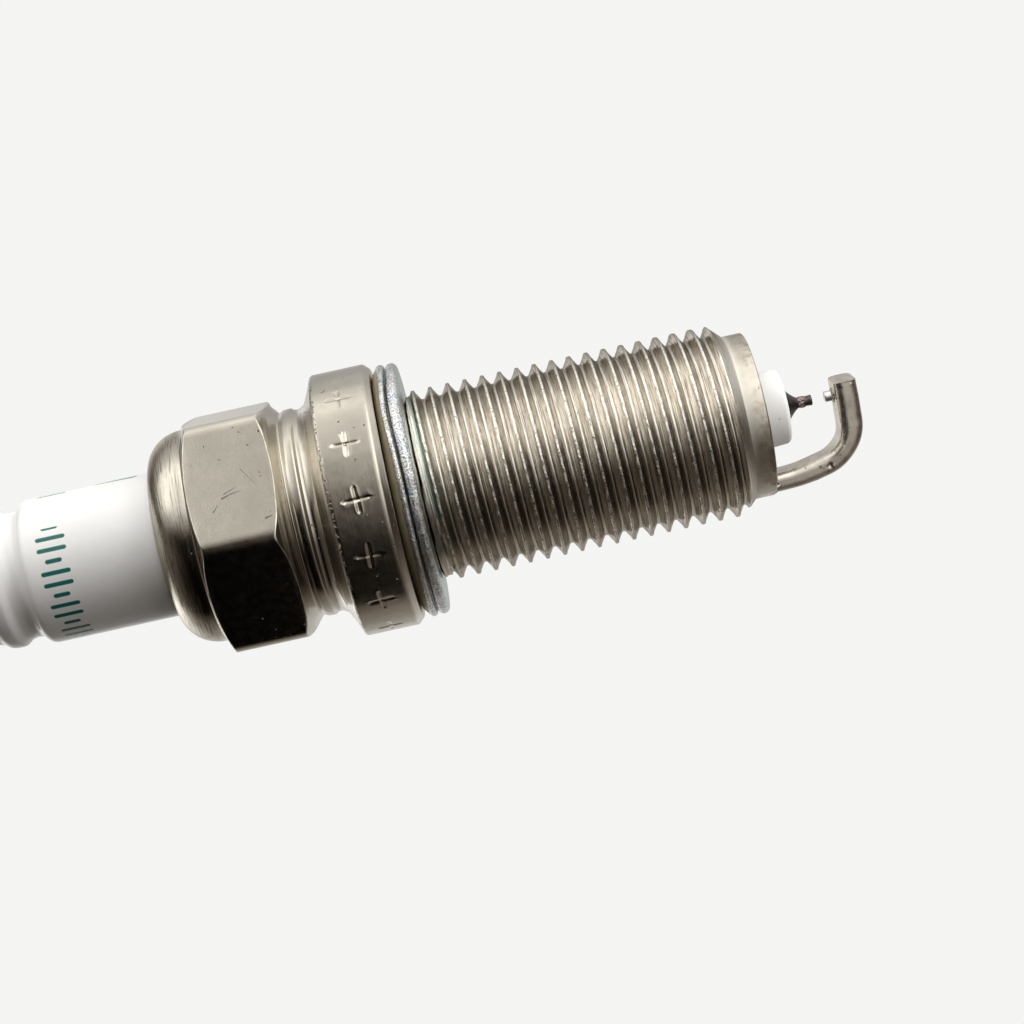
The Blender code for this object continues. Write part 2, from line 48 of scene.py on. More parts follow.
TAU = 2 * pi

# Camera: square to the axis, near the firing end, rolled so that the tip points right and up
CAMERA_AZIMUTH = -81.5
CAMERA_DISTANCE = 150.0
CAMERA_SIDE = -3.06
CAMERA_HEIGHT = -5.73
CAMERA_ROLL = 12.39
CAMERA_LENS = 74.5

# Studio
BACKDROP_DISTANCE = 400.0
BACKDROP_HALF = 600.0
SEEN_LIGHT = 0.89
BRIGHTEST = 3.0

# Shell, from the crimp down
BORE_R = 4.65
CRIMP_LIP_R, CRIMP_LIP_Z = 5.42, 18.45
CRIMP_SHOULDER_R, CRIMP_SHOULDER_Z = 7.62, 15.86
APOTHEM = 8.0
HEX_CORNER_R = 9.06
HEX_CORNER_WIDTH = 0.80
COLLAR_R = 9.40
COLLAR_MARKS = 15
COLLAR_MARK_AZIMUTH = -81.8
COLLAR_MARK_Z = 4.18
SEAM_AZIMUTH = -90
THREAD_PITCH = 1.25
THREAD_CREST_R = 6.83
THREAD_ROOT_R = 6.10
THREAD_CREST_Z = -0.70
THREAD_TOP_Z = 0.02
THREAD_BOTTOM_Z = -22.75
CUT_Z = 0.30
NOSE_R = 5.86
NOSE_BORE_R = 4.15
RIM_Z = -24.20

# Points round the axis
BARREL_COLUMNS = 180
HEAD_COLUMNS = 360
GASKET_COLUMNS = 240
INSULATOR_COLUMNS = 160
TERMINAL_COLUMNS = 96

# Thin strokes in the plating: (radius, azimuth in degrees, height) of each end, then the width
SHELL_SCRATCHES = (
    ((8.07, -67.4, 13.10), (8.04, -65.8, 12.45), 0.075),
    ((8.04, -65.9, 12.45), (8.03, -65.2, 11.75), 0.040),
    ((8.03, -65.2, 12.91), (8.01, -62.9, 12.06), 0.040),
    ((8.22, -73.3, 13.82), (8.12, -69.9, 13.43), 0.045),
    ((8.04, -54.1, 11.55), (8.02, -64.1, 10.67), 0.025), ((8.56, -81.0, 10.39), (8.52, -80.4, 9.95), 0.085),
    ((8.93, -33.6, 11.61), (8.93, -33.4, 11.50), 0.060),
    ((8.75, -36.1, 11.27), (8.72, -36.5, 11.20), 0.060),
    ((8.36, -42.9, 10.82), (8.36, -43.1, 10.72), 0.070),
    ((8.01, -57.8, 10.33), (8.01, -58.2, 10.28), 0.055),
    ((8.00, -59.9, 10.31), (8.00, -60.2, 10.27), 0.050), ((8.63, -37.6, 9.92), (8.60, -38.2, 9.88), 0.110),
    ((8.20, -47.0, 12.90), (8.19, -47.4, 12.75), 0.050), ((9.40, -26.3, 5.18), (9.40, -25.2, 4.96), 0.110),
    ((9.40, -46.8, 4.38), (9.40, -46.4, 4.30), 0.075), ((9.40, -51.1, 2.72), (9.40, -50.7, 2.66), 0.075),
    ((9.40, -65.7, 3.73), (9.40, -65.3, 3.66), 0.065), ((9.40, -74.6, 2.82), (9.40, -74.3, 2.78), 0.045),
)
NICKEL = (0.545, 0.506, 0.434)
# Tones of the thread: the flank that faces the terminal is painted light, the flank that faces the tip is
# painted in shade, and the root is a mid tone between them; the crest is painted pale as a painted highlight
THREAD_ROOT_TONE = (0.72, 0.69, 0.63)
PAINTED_LIT_FLANK_TONE = (0.92, 0.885, 0.82)
PAINTED_SHADED_FLANK_TONE = (0.57, 0.53, 0.47)
DRAWN_LINE_TONE = (0.26, 0.215, 0.155)
PAINTED_CREST_HIGHLIGHT = (0.78, 0.75, 0.69)
CREST_GAP_TONE = (0.22, 0.19, 0.15)

# Gasket
SHEET_HALF = 0.190
FOLD_R = 0.215
LOWER_SHEET_Z = 0.20
MIDDLE_SHEET_Z = 0.63
UPPER_SHEET_Z = 1.69
GASKET_BEND_AZIMUTH = -43.5
GASKET_OVAL_AZIMUTH = -81.5

# Insulator
INSULATOR_R = 5.18
RIB_R = 4.98
RIB_WAIST_R = 4.50
RIB_PITCH = 2.90
FIRST_RIB_Z = 28.80
INSULATOR_TOP_Z = 41.80
WIDE_R = 5.90
CORE_R = 4.50
NOSE_TIP_R = 2.64
ELECTRODE_BORE_R = 1.30
STUD_BORE_R = 2.05
NOSE_LEAN = radians(8.5)
NOSE_OFFSET = 0.15
PRINT_Z = 25.6
PRINT_PITCH = 9.0
PRINT_START = -81.5
PRINT_GAP_AZIMUTH = -30.0

# Terminal end
STUD_PITCH = 0.70
STUD_CREST_R = 1.98
STUD_ROOT_R = 1.57
STUD_TOP_Z = 49.20
FLANGE_TOP_Z = 42.52
NUT_LOW_Z = 42.54

# Firing end
TIP_END_Z = -28.13
PIP_FACE_Z = -29.05
PIP_R = 0.38
STRAP_TURN = 176.4
STRAP_THICK = 1.30
STRAP_SWELL = 0.12
STRAP_LEG_SWELL = 0.22
STRAP_WIDTH = 2.68
STRAP_CENTRE_R = 4.98
STRAP_END_R = -1.15
STRAP_ROUND = 0.47

# (share of the strap's length, across, outwards, size, depth); a negative depth is a burr
STRAP_DENTS = (
    (0.390, 1.34, 0.02, 0.17, 0.10), (0.408, 1.34, 0.16, 0.08, -0.05), (0.375, 1.34, -0.10, 0.07, -0.03),
    (0.690, 1.32, 0.50, 0.11, 0.10), (0.700, 1.32, 0.38, 0.06, -0.04), (0.470, 1.24, -0.60, 0.10, 0.09),
    (0.395, 1.24, -0.60, 0.08, 0.07), (0.560, 1.34, -0.30, 0.06, 0.03), (0.975, 1.34, 0.35, 0.10, -0.05),
    (0.965, 1.34, -0.35, 0.09, 0.04), (0.300, -1.34, 0.10, 0.12, 0.06), (0.660, -1.34, -0.20, 0.10, 0.05),
)
BEAD_INNER_R = 0.38
# (azimuth in degrees, height, size)
BEAD_DROPS = (
    (-100.0, -27.36, 0.060), (-58.0, -27.50, 0.055), (-20.0, -27.30, 0.050), (40.0, -27.42, 0.050),
    (140.0, -27.36, 0.050),
)


def wrapped(angle):
    """An angle in radians, brought between minus pi and pi."""
    return (angle + pi) % TAU - pi


def outline(corners, step=0.5, closed=False):
    """Points along straight stretches between (radius, height) corners; a third value rounds the corner."""
    corners = [(*corner, 0.0)[:3] for corner in corners]
    count = len(corners)
    points = []
    for i, (r, z, fillet) in enumerate(corners):
        here = np.array([r, z], float)
        if fillet == 0 or (not closed and i in (0, count - 1)):
            points.append(here)
            continue
        before = np.array(corners[i - 1][:2], float) - here
        after = np.array(corners[(i + 1) % count][:2], float) - here
        before_length, after_length = np.linalg.norm(before), np.linalg.norm(after)
        before, after = before / before_length, after / after_length
        half_angle = acos(float(np.clip(before @ after, -1, 1))) / 2
        if half_angle > pi / 2 - 0.01:
            points.append(here)
            continue
        tangent = min(fillet / tan(half_angle), 0.49 * before_length, 0.49 * after_length)
        radius = tangent * tan(half_angle)
        centre = here + (before + after) / np.linalg.norm(before + after) * radius / sin(half_angle)
        start, end = here + before * tangent - centre, here + after * tangent - centre
        sweep = pi - 2 * half_angle
        turns = max(2, round(degrees(sweep) / 15))
        for k in range(turns + 1):
            share = k / turns
            along = sin((1 - share) * sweep) * start + sin(share * sweep) * end
            points.append(centre + along / sin(sweep))
    spaced = [points[0]]
    for target in points[1:] + ([points[0]] if closed else []):
        pieces = max(1, ceil(float(np.linalg.norm(target - spaced[-1])) / step))
        start = spaced[-1]
        spaced += [start + (target - start) * (k + 1) / pieces for k in range(pieces)]
    if closed:
        spaced.pop()
    return [(float(r), float(z)) for r, z in spaced]


def columns(count):
    return np.linspace(0, TAU, count + 1)


def ring(theta, r, z):
    """Points at the azimuths theta; r and z are numbers or arrays as long as theta."""
    return np.stack([r * np.cos(theta), r * np.sin(theta), z + 0 * theta], axis=1)


def strip(upper_start, upper_count, lower_start, lower_count):
    """Faces between two rows of points, where one row may be a whole number of times finer."""
    faces = []
    coarse = min(upper_count, lower_count) - 1
    up_step, low_step = (upper_count - 1) // coarse, (lower_count - 1) // coarse
    for i in range(coarse):
        upper = [upper_start + i * up_step + k for k in range(up_step + 1)]
        lower = [lower_start + i * low_step + k for k in range(low_step + 1)]
        faces.append([*lower, *reversed(upper)])
    return faces


def new_object(name, data):
    made = bpy.data.objects.new(name, data)
    bpy.context.scene.collection.objects.link(made)
    return made


def skin(name, rows, closed, sharp):
    """A mesh from rows of points in millimetres, top to bottom on the outer side, welded at its seam."""
    starts = np.concatenate([[0], np.cumsum([len(row) for row in rows])])
    faces = []
    for i in range(len(rows) if closed else len(rows) - 1):
        j = (i + 1) % len(rows)
        faces += strip(int(starts[i]), len(rows[i]), int(starts[j]), len(rows[j]))
    mesh = bpy.data.meshes.new(name)
    mesh.from_pydata(np.concatenate(rows) * MM, [], faces)
    bm = bmesh.new()
    bm.from_mesh(mesh)
    bmesh.ops.remove_doubles(bm, verts=bm.verts, dist=0.0004 * MM)
    bmesh.ops.dissolve_degenerate(bm, edges=bm.edges, dist=0.0002 * MM)
    bmesh.ops.recalc_face_normals(bm, faces=bm.faces)
    bm.to_mesh(mesh)
    bm.free()
    mesh.shade_smooth()
    mesh.set_sharp_from_angle(angle=radians(sharp))
    return new_object(name, mesh)


def piece(name, rows, body, node, mat, closed=True, sharp=50):
    """A mesh with its body, the CAD node that it stands for and its material."""
    made = skin(name, rows, closed, sharp)
    made.data.materials.append(mat)
    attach(made, body)
    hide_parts(node)


def turned_rows(points, count, shape=None):
    """Rows of a turned shape. shape(theta, r, z) may give each row another radius."""
    theta = columns(count)
    rows = []
    for r, z in points:
        radius = shape(theta, r, z) if shape else r
        rows.append(ring(theta, radius, z))
    return rows


def thread_rows(form, pitch, heights, most, count, least=lambda z: 0 * z):
    """Rows that climb one pitch in a turn, top to bottom. form is one pitch as (height, radius) points.

    heights are one crest's, at azimuth 0, and the thread's lower and upper end. most and least give the
    largest and smallest radius at a height.
    """
    crest_z, low_z, high_z = heights
    theta = columns(count)
    first = crest_z - pitch * (floor((crest_z - low_z) / pitch) + 2)
    turns = ceil((high_z - first) / pitch) + 1
    rows = []
    for turn in reversed(range(turns)):
        for rise, r in reversed(form):
            z = np.clip(first + turn * pitch + rise + pitch * theta / TAU, low_z, high_z)
            rows.append(ring(theta, np.minimum(np.maximum(r, least(z)), most(z)), z))
    return rows


def thread_form(pitch, crest_r, root_r):
    """One pitch of a rolled 60 degree thread, from the crest's middle up to just below the next one."""
    deep = crest_r - root_r
    half = 0.080 * pitch
    knee = half + 0.17 * deep
    foot = half + 0.58 * deep
    corners = [
        (crest_r, -pitch / 2),
        (crest_r, half, 0.035 * pitch),
        (crest_r - 0.36 * deep, knee, 0.06 * pitch),
        (root_r, foot, 0.10 * pitch),
        (root_r, pitch - foot, 0.10 * pitch),
        (crest_r - 0.36 * deep, pitch - knee, 0.06 * pitch),
        (crest_r, pitch - half, 0.035 * pitch),
        (crest_r, pitch * 1.5),
    ]
    points = outline(corners, step=0.4)
    return [(z, r) for r, z in points if 0 <= z < pitch - 1e-6]


def pressed(theta, r, z, marks):
    """How far the surface is pushed in by marks: each a short groove with a slight lip thrown up beside it.

    A mark is (azimuth in radians, height, tilt in radians, half length, half width, depth).
    """
    depth = np.zeros_like(theta)
    for azimuth, height, tilt, half_length, half_width, deep in marks:
        if abs(z - height) > half_length + 3 * half_width:
            continue
        u, v = wrapped(theta - azimuth) * r, z - height
        along = u * cos(tilt) + v * sin(tilt)
        across = v * cos(tilt) - u * sin(tilt)
        away = np.hypot(np.maximum(np.abs(along) - half_length, 0), across) / half_width
        depth += deep * np.clip(1.15 - away, 0, 1)
        depth -= 0.12 * deep * np.exp(-(((away - 1.45) / 0.28) ** 2))
    return depth


def smooth_min(a, b, width):
    share = np.clip(0.5 + 0.5 * (b - a) / width, 0, 1)
    return b + (a - b) * share - width * share * (1 - share)


def spread(offsets, radius, centres, shift_deg):
    """Azimuths crowded round evenly spaced centres, by offsets in millimetres to either side."""
    angles = []
    for k in range(centres):
        middle = radians(shift_deg) + TAU * k / centres
        angles += [middle + side * gap / radius for gap in offsets for side in (1, -1)] + [middle]
        angles.append(middle + pi / centres)
    return np.array(angles)


def closed_columns(angles):
    """Sorted azimuths for one turn, starting and ending at the seam."""
    start = radians(SEAM_AZIMUTH)
    sorted_angles = np.sort((np.array(angles) - start) % TAU)
    sorted_angles[0] = 0.0
    return start + np.append(sorted_angles, TAU)


# ---------------------------------------------------------------- materials


class Nodes:
    """A node tree with short calls for the nodes used here."""

    def __init__(self, tree):
        self.tree = tree

    def node(self, kind, **settings):
        made = self.tree.nodes.new("ShaderNode" + kind)
        for name, value in settings.items():
            setattr(made, name, value)
        return made

    def put(self, socket, value):
        if isinstance(value, bpy.types.NodeSocket):
            self.tree.links.new(value, socket)
        elif value is not None:
            socket.default_value = value

    def math(self, operation, *values, clamp=False):
        made = self.node("Math", operation=operation, use_clamp=clamp)
        for socket, value in zip(made.inputs, values):
            self.put(socket, value)
        return made.outputs[0]

    def times(self, *values):
        product = values[0]
        for value in values[1:]:
            product = self.math("MULTIPLY", product, value)
        return product

    def add(self, a, b):
        return self.math("ADD", a, b)

    def less(self, a, b, clamp=False):
        return self.math("SUBTRACT", a, b, clamp=clamp)

    def times_add(self, a, factor, b, clamp=False):
        return self.math("MULTIPLY_ADD", a, factor, b, clamp=clamp)

    def ramp(self, value, stops, interpolation="LINEAR"):
        """Colours at positions from 0 to 1."""
        made = self.node("ValToRGB")
        made.color_ramp.interpolation = interpolation
        elements = made.color_ramp.elements
        while len(elements) < len(stops):
            elements.new(0.5)
        for element, (position, colour) in zip(elements, stops):
            element.position = position
            element.color = (*colour, 1)
        self.put(made.inputs[0], value)
        return made.outputs[0]


class Graph(Nodes):
    """A material's node tree. Positions are in millimetres."""

    def __init__(self, name, colour, roughness, metallic):
        self.material = bpy.data.materials.new(name)
        self.material.use_nodes = True
        super().__init__(self.material.node_tree)
        self.shader = self.tree.nodes["Principled BSDF"]
        self.finish((*colour, 1), roughness)
        self.put(self.shader.inputs["Metallic"], metallic)
        to_mm = self.node("Mapping")
        to_mm.inputs["Scale"].default_value = (1 / MM, 1 / MM, 1 / MM)
        self.put(to_mm.inputs["Vector"], self.node("TexCoord").outputs["Object"])
        self.place = to_mm.outputs[0]
        split = self.node("SeparateXYZ")
        self.put(split.inputs[0], self.place)
        self.x, self.y, self.z = split.outputs
        self.azimuth = self.math("ARCTAN2", self.y, self.x)
        self.radius = self.length(self.x, self.y)

    def length(self, a, b):
        return self.math("SQRT", self.add(self.times(a, a), self.times(b, b)))

    def between(self, value, low, high):
        """0 below low, 1 above high, and a straight ramp between."""
        made = self.node("MapRange", clamp=True)
        for socket, number in (("Value", value), ("From Min", low), ("From Max", high)):
            self.put(made.inputs[socket], number)
        return made.outputs[0]

    def zone(self, low_start, low_end, high_start, high_end, value=None):
        """1 between two heights, or two sizes of a value, with a ramp at either end."""
        value = self.z if value is None else value
        return self.less(self.between(value, low_start, low_end), self.between(value, high_start, high_end))

    def vector(self, x, y, z):
        made = self.node("CombineXYZ")
        for socket, value in zip(made.inputs, (x, y, z)):
            self.put(socket, value)
        return made.outputs[0]

    def vector_math(self, operation, a, b=None):
        """A vector, or the number that a length or a dot product gives."""
        made = self.node("VectorMath", operation=operation)
        self.put(made.inputs[0], a)
        self.put(made.inputs[1], b)
        return made.outputs["Value" if operation in ("LENGTH", "DOT_PRODUCT") else "Vector"]

    def segments(self, lines):
        """1 on thin strokes, 0 elsewhere. A stroke is two ends for polar() and a width."""
        covered = None
        for first, last, width in lines:
            start, end = polar(*first), polar(*last)
            along = end - start
            offset = self.vector_math("SUBTRACT", self.place, tuple(start))
            share = self.vector_math("DOT_PRODUCT", offset, tuple(along / along.length_squared))
            share = self.math("MAXIMUM", self.math("MINIMUM", share, 1.0), 0.0)
            reach = self.vector(*(self.times(share, part) for part in along))
            away = self.vector_math("LENGTH", self.vector_math("SUBTRACT", offset, reach))
            # The stroke thins towards its far end
            edge = self.times_add(share, -0.7 * width, width)
            mark = self.less(1.0, self.math("DIVIDE", away, edge), clamp=True)
            mark = self.math("MULTIPLY", mark, 2.5, clamp=True)
            covered = mark if covered is None else self.math("MAXIMUM", covered, mark)
        return covered

    def noise(self, scale, detail=2.0, rough=0.5, vector=None):
        made = self.node("TexNoise")
        where = self.place if vector is None else vector
        for socket, value in (("Scale", scale), ("Detail", detail), ("Roughness", rough), ("Vector", where)):
            self.put(made.inputs[socket], value)
        return made.outputs[0]

    def turning_lines(self, per_mm, round_scale=0.35, detail=3.0):
        """Fine lines that run round the axis, as a lathe or a roller leaves them."""
        along = self.times(self.math("SINE", self.azimuth), round_scale * 6)
        across = self.times(self.math("COSINE", self.azimuth), round_scale * 6)
        where = self.vector(self.times_add(self.radius, per_mm, along), across, self.times(self.z, per_mm))
        return self.noise(1.0, detail, 0.6, where)

    def mix(self, share, a, b):
        made = self.node("Mix", data_type="RGBA")
        self.put(made.inputs["Factor"], share)
        for socket, value in zip((s for s in made.inputs if s.type == "RGBA"), (a, b)):
            self.put(socket, (*value, 1) if isinstance(value, tuple) else value)
        return next(s for s in made.outputs if s.type == "RGBA")

    def tint(self, tone, *layers):
        """The tone with (share, strength, colour) layers laid over it in turn."""
        for share, strength, colour in layers:
            tone = self.mix(self.times(share, strength), tone, colour)
        return tone

    def cloudy(self, cloud, colour, dark, light):
        """A colour that drifts between a darker and a lighter shade."""
        return self.mix(self.between(cloud, 0.35, 0.65), shade(colour, dark), shade(colour, light))

    def bumps(self, *layers):
        """A normal from (height, distance) layers. A height of 1 stands for distance millimetres."""
        normal = None
        for height, distance in layers:
            made = self.node("Bump")
            for socket, value in (("Strength", 1.0), ("Distance", distance * MM), ("Height", height)):
                self.put(made.inputs[socket], value)
            self.put(made.inputs["Normal"], normal)
            normal = made.outputs[0]
        return normal

    def finish(self, colour=None, roughness=None, normal=None):
        for name, value in (("Base Color", colour), ("Roughness", roughness), ("Normal", normal)):
            self.put(self.shader.inputs[name], value)
        return self.material


def polar(radius, azimuth_deg, height):
    azimuth = radians(azimuth_deg)
    return Vector((radius * cos(azimuth), radius * sin(azimuth), height))


def shade(colour, factor):
    return tuple(min(1.0, channel * factor) for channel in colour)


def thread_tones(graph, thread, tone):
    """Drawn lines that follow the rolled thread's helix, painted light and shade on its flanks, and its
    beaded crest with a painted highlight.
    """
    # The share of a pitch is 0 on the crest and 0.5 in the root. The whole pitches keep it above zero.
    climb = graph.add(graph.z, 40 * THREAD_PITCH - THREAD_CREST_Z)
    climb = graph.math("DIVIDE", climb, THREAD_PITCH)
    share = graph.math("FRACT", graph.times_add(graph.azimuth, -1 / TAU, climb))
    along = graph.times_add(graph.math("SINE", graph.azimuth), 2.2, graph.times(graph.z, 0.4))
    beside = graph.times(graph.math("COSINE", graph.azimuth), 2.2)
    drawn = graph.noise(1.0, 3.0, 0.65, graph.vector(graph.times(share, 24.0), along, beside))
    # Painted light and shade in the groove: the flank above each crest is painted lit, the flank below the
    # next crest is painted in shade, and the root is a mid tone
    groove = graph.mix(graph.zone(0.07, 0.11, 0.40, 0.46, share), THREAD_ROOT_TONE, PAINTED_LIT_FLANK_TONE)
    groove = graph.mix(graph.zone(0.58, 0.62, 0.90, 0.93, share), groove, PAINTED_SHADED_FLANK_TONE)
    groove = graph.tint(groove, (graph.between(drawn, 0.51, 0.58), 0.65, DRAWN_LINE_TONE))
    tone = graph.mix(thread, tone, groove)
    from_root = graph.math("ABSOLUTE", graph.less(share, 0.5))
    crest = graph.times(graph.between(from_root, 0.430, 0.450), thread)
    crest = graph.times(crest, graph.between(graph.radius, 6.70, 6.78))
    beads = graph.noise(7.0, 2.0, 0.6)
    # The crest is painted pale, a painted highlight; the gaps between its beads are darker
    tone = graph.mix(crest, tone, PAINTED_CREST_HIGHLIGHT)
    tone = graph.mix(graph.times(graph.between(beads, 0.60, 0.66), crest), tone, CREST_GAP_TONE)
    return tone, crest, drawn, beads


def plated_shell(name):
    """Nickel-plated steel: brushed crimp, satin hexagon and collar, lined thread, matt nose."""
    graph = Graph(name, NICKEL, 0.25, 1.0)
    crimp = graph.between(graph.z, 15.7, 16.1)
    hexagon = graph.zone(9.5, 9.8, 15.0, 15.3)
    neck = graph.zone(6.3, 6.8, 9.0, 9.5)
    collar = graph.zone(1.9, 2.1, 6.0, 6.3)
    collar_edge = graph.zone(5.84, 5.94, 6.00, 6.12)
    thread = graph.zone(-22.9, -22.5, 0.2, 0.5)
    run_out = graph.zone(-23.15, -22.85, -22.35, -22.05)
    nose = graph.less(1.0, graph.between(graph.z, -22.9, -22.5))
    near_rim = graph.between(graph.z, -22.9, -23.9)
    cloud = graph.noise(0.50, 3.0)
    mottle = graph.noise(1.9, 4.0, 0.6)
    fine = graph.noise(9.0, 3.0, 0.6)
    pit = graph.between(graph.noise(3.1, 1.0, 0.5), 0.785, 0.81)
    scuffs = graph.segments(SHELL_SCRATCHES)
    dashes = graph.times(graph.between(graph.turning_lines(9.0, 0.8, 1.0), 0.58, 0.66), crimp)
    grainy = graph.times(graph.between(fine, 0.50, 0.68), hexagon)
    painted_light_flat = graph.times(graph.between(graph.x, 7.70, 7.95), hexagon)
    burr = graph.times(collar_edge, graph.between(graph.noise(4.6, 2.0), 0.54, 0.60))
    stained = graph.times(graph.between(graph.noise(0.9, 3.0, 0.6), 0.46, 0.62), nose, near_rim)

    # The hexagon is grainy, and its +X flat carries painted light: it is painted a little brighter than the
    # others
    tone = graph.tint(
        graph.cloudy(cloud, NICKEL, 0.95, 1.05),
        (graph.between(mottle, 0.50, 0.75), 0.4, shade(NICKEL, 0.82)),
        (dashes, 0.6, shade(NICKEL, 0.30)),
        (grainy, 0.30, shade(NICKEL, 0.72)),
        (painted_light_flat, 0.85, shade(NICKEL, 1.60)),
        (burr, 0.75, shade(NICKEL, 0.25)),
    )
    tone, crest, drawn, beads = thread_tones(graph, thread, tone)
    # The run-out beside the nose is painted paler, a painted highlight, and the rim has a brown stain
    tone = graph.tint(
        tone,
        (run_out, 0.5, (0.78, 0.755, 0.71)),
        (stained, 0.75, (0.27, 0.20, 0.145)),
        (pit, 0.8, shade(NICKEL, 0.20)),
        (scuffs, 0.7, shade(NICKEL, 0.30)),
    )
    rough = 0.17
    for share, change in (
        (crimp, -0.06),
        (collar, -0.02),
        (hexagon, -0.04),
        (neck, -0.03),
        (nose, 0.12),
        (thread, -0.05),
        (crest, 0.12),
        (run_out, 0.16),
        (graph.between(mottle, 0.3, 0.7), 0.06),
        (pit, 0.30),
    ):
        rough = graph.times_add(share, change, rough)
    turned = graph.less(1.0, graph.math("MAXIMUM", hexagon, graph.times(collar, 0.8)))
    turned = graph.less(turned, graph.times_add(neck, 0.7, thread), clamp=True)
    dents = graph.math("MAXIMUM", graph.math("MAXIMUM", pit, scuffs), burr)
    normal = graph.bumps(
        (graph.times(graph.turning_lines(6.0), turned), 0.006),
        (graph.times(graph.turning_lines(6.5, 0.60, 4.0), crimp), 0.022),
        (graph.times(drawn, thread), 0.012),
        (graph.times(fine, graph.times_add(hexagon, 0.6, 0.4)), 0.0035),
        (graph.times(beads, crest), 0.038),
        (graph.times(cloud, hexagon), 0.010),
        (graph.less(1.0, dents), 0.035),
    )
    # Seen at a grazing angle, the crimp and the thread are duller than polished metal
    grazing = graph.times_add(crimp, 0.62, thread)
    dull_edge = graph.mix(grazing, (1.0, 1.0, 1.0), (0.52, 0.49, 0.45))
    graph.put(graph.shader.inputs["Specular Tint"], dull_edge)
    return graph.finish(tone, rough, normal)


def plated_metal(name, colour, roughness):
    """Turned and plated small parts: fine lines round the axis and a cloudy tone."""
    graph = Graph(name, colour, roughness, 1.0)
    lines = graph.turning_lines(9.0)
    tone = graph.cloudy(graph.noise(0.6, 3.0), colour, 0.90, 1.06)
    tone = graph.tint(tone, (graph.between(lines, 0.5, 0.75), 0.3, shade(colour, 0.6)))
    rough = graph.times_add(graph.between(lines, 0.3, 0.7), 0.10, roughness - 0.05)
    return graph.finish(tone, rough, graph.bumps((lines, 0.006), (graph.noise(7.0, 3.0, 0.6), 0.0035)))


def bare_alloy(name, colour, roughness, mottle=1.0, relief=0.006):
    """Drawn or fused alloy: mottled, with shallow pits."""
    graph = Graph(name, colour, roughness, 1.0)
    cloud = graph.noise(1.6 * mottle, 4.0, 0.6)
    fine = graph.noise(9.0 * mottle, 3.0, 0.6)
    pit = graph.between(graph.noise(3.4 * mottle, 1.0), 0.68, 0.72)
    tone = graph.tint(graph.cloudy(cloud, colour, 0.82, 1.12), (pit, 0.7, shade(colour, 0.25)))
    rough = graph.times_add(graph.between(cloud, 0.3, 0.7), 0.14, roughness - 0.06)
    return graph.finish(tone, rough, graph.bumps((fine, relief), (graph.less(1.0, pit), 5 * relief)))


def zinc_sheet(name):
    """Passivated zinc: olive on the dished side, green and violet patches, and a crystalline grain with
    painted glints.
    """
    graph = Graph(name, (0.47, 0.50, 0.47), 0.30, 1.0)
    where = graph.vector(graph.azimuth, graph.radius, graph.times(graph.z, 2.4))
    around = graph.noise(1.3, 2.0, 0.5, where)
    film = graph.times_add(graph.noise(0.8, 2.0), 0.5, graph.times(around, 0.5))
    rainbow = (
        (0.36, (0.47, 0.44, 0.38)), (0.43, (0.58, 0.59, 0.54)), (0.50, (0.70, 0.70, 0.67)),
        (0.56, (0.50, 0.62, 0.62)), (0.62, (0.54, 0.48, 0.60)), (0.68, (0.58, 0.59, 0.55)),
    )
    olive = ((0.38, (0.45, 0.47, 0.30)), (0.50, (0.54, 0.47, 0.33)), (0.62, (0.50, 0.37, 0.33)))
    dished = graph.times(graph.between(graph.z, 1.30, 1.42), graph.between(graph.radius, 9.02, 8.94))
    under = graph.between(graph.z, 0.10, 0.03)
    rim = graph.less(1.0, graph.math("MAXIMUM", dished, under), clamp=True)
    grain = graph.noise(8.0, 2.0, 0.7)
    # Painted glints: bright specks of the grain painted in as reflections
    glint = graph.times(graph.between(grain, 0.50, 0.60), rim)
    dull = graph.times(graph.between(grain, 0.44, 0.36), rim)
    spark = graph.times(graph.between(graph.noise(5.5, 1.0), 0.60, 0.66), rim)
    tone = graph.mix(dished, graph.ramp(film, rainbow), graph.ramp(film, olive))
    tone = graph.tint(
        tone,
        (under, 0.8, (0.37, 0.50, 0.45)),
        (glint, 1.0, (0.90, 0.90, 0.89)),
        (dull, 0.8, (0.14, 0.14, 0.15)),
        (spark, 0.6, (0.50, 0.38, 0.62)),
    )
    rough = graph.times_add(dished, 0.14, graph.times_add(grain, 0.16, 0.12))
    # The film on the dished side is thick enough to look less metallic
    graph.put(graph.shader.inputs["Metallic"], graph.times_add(dished, -0.32, 1.0))
    relief = graph.times(grain, graph.times_add(rim, 0.75, 0.25))
    return graph.finish(tone, rough, graph.bumps((relief, 0.070)))


def printed_dashes(graph):
    """1 inside a plain printed band of upright dashes, every third one short."""
    pitch = radians(PRINT_PITCH)
    step = graph.math("DIVIDE", graph.add(graph.azimuth, radians(720 - PRINT_START)), pitch)
    pitch_mm = pitch * INSULATOR_R
    across = graph.times_add(graph.math("FRACT", step), pitch_mm, -pitch_mm / 2)
    third = graph.math("GREATER_THAN", graph.math("FRACT", graph.math("DIVIDE", step, 3.0)), 0.6667)
    half_height = graph.times_add(third, -0.45, 0.88)
    height = graph.math("ABSOLUTE", graph.less(graph.z, PRINT_Z))
    away = graph.length(across, graph.math("MAXIMUM", graph.less(height, half_height), 0.0))
    bar = graph.less(1.0, graph.between(away, 0.13, 0.18))
    # The band covers most of the turn
    from_gap = graph.math("COSINE", graph.add(graph.azimuth, radians(-PRINT_GAP_AZIMUTH)))
    return graph.times(bar, graph.math("LESS_THAN", from_gap, 0.94))


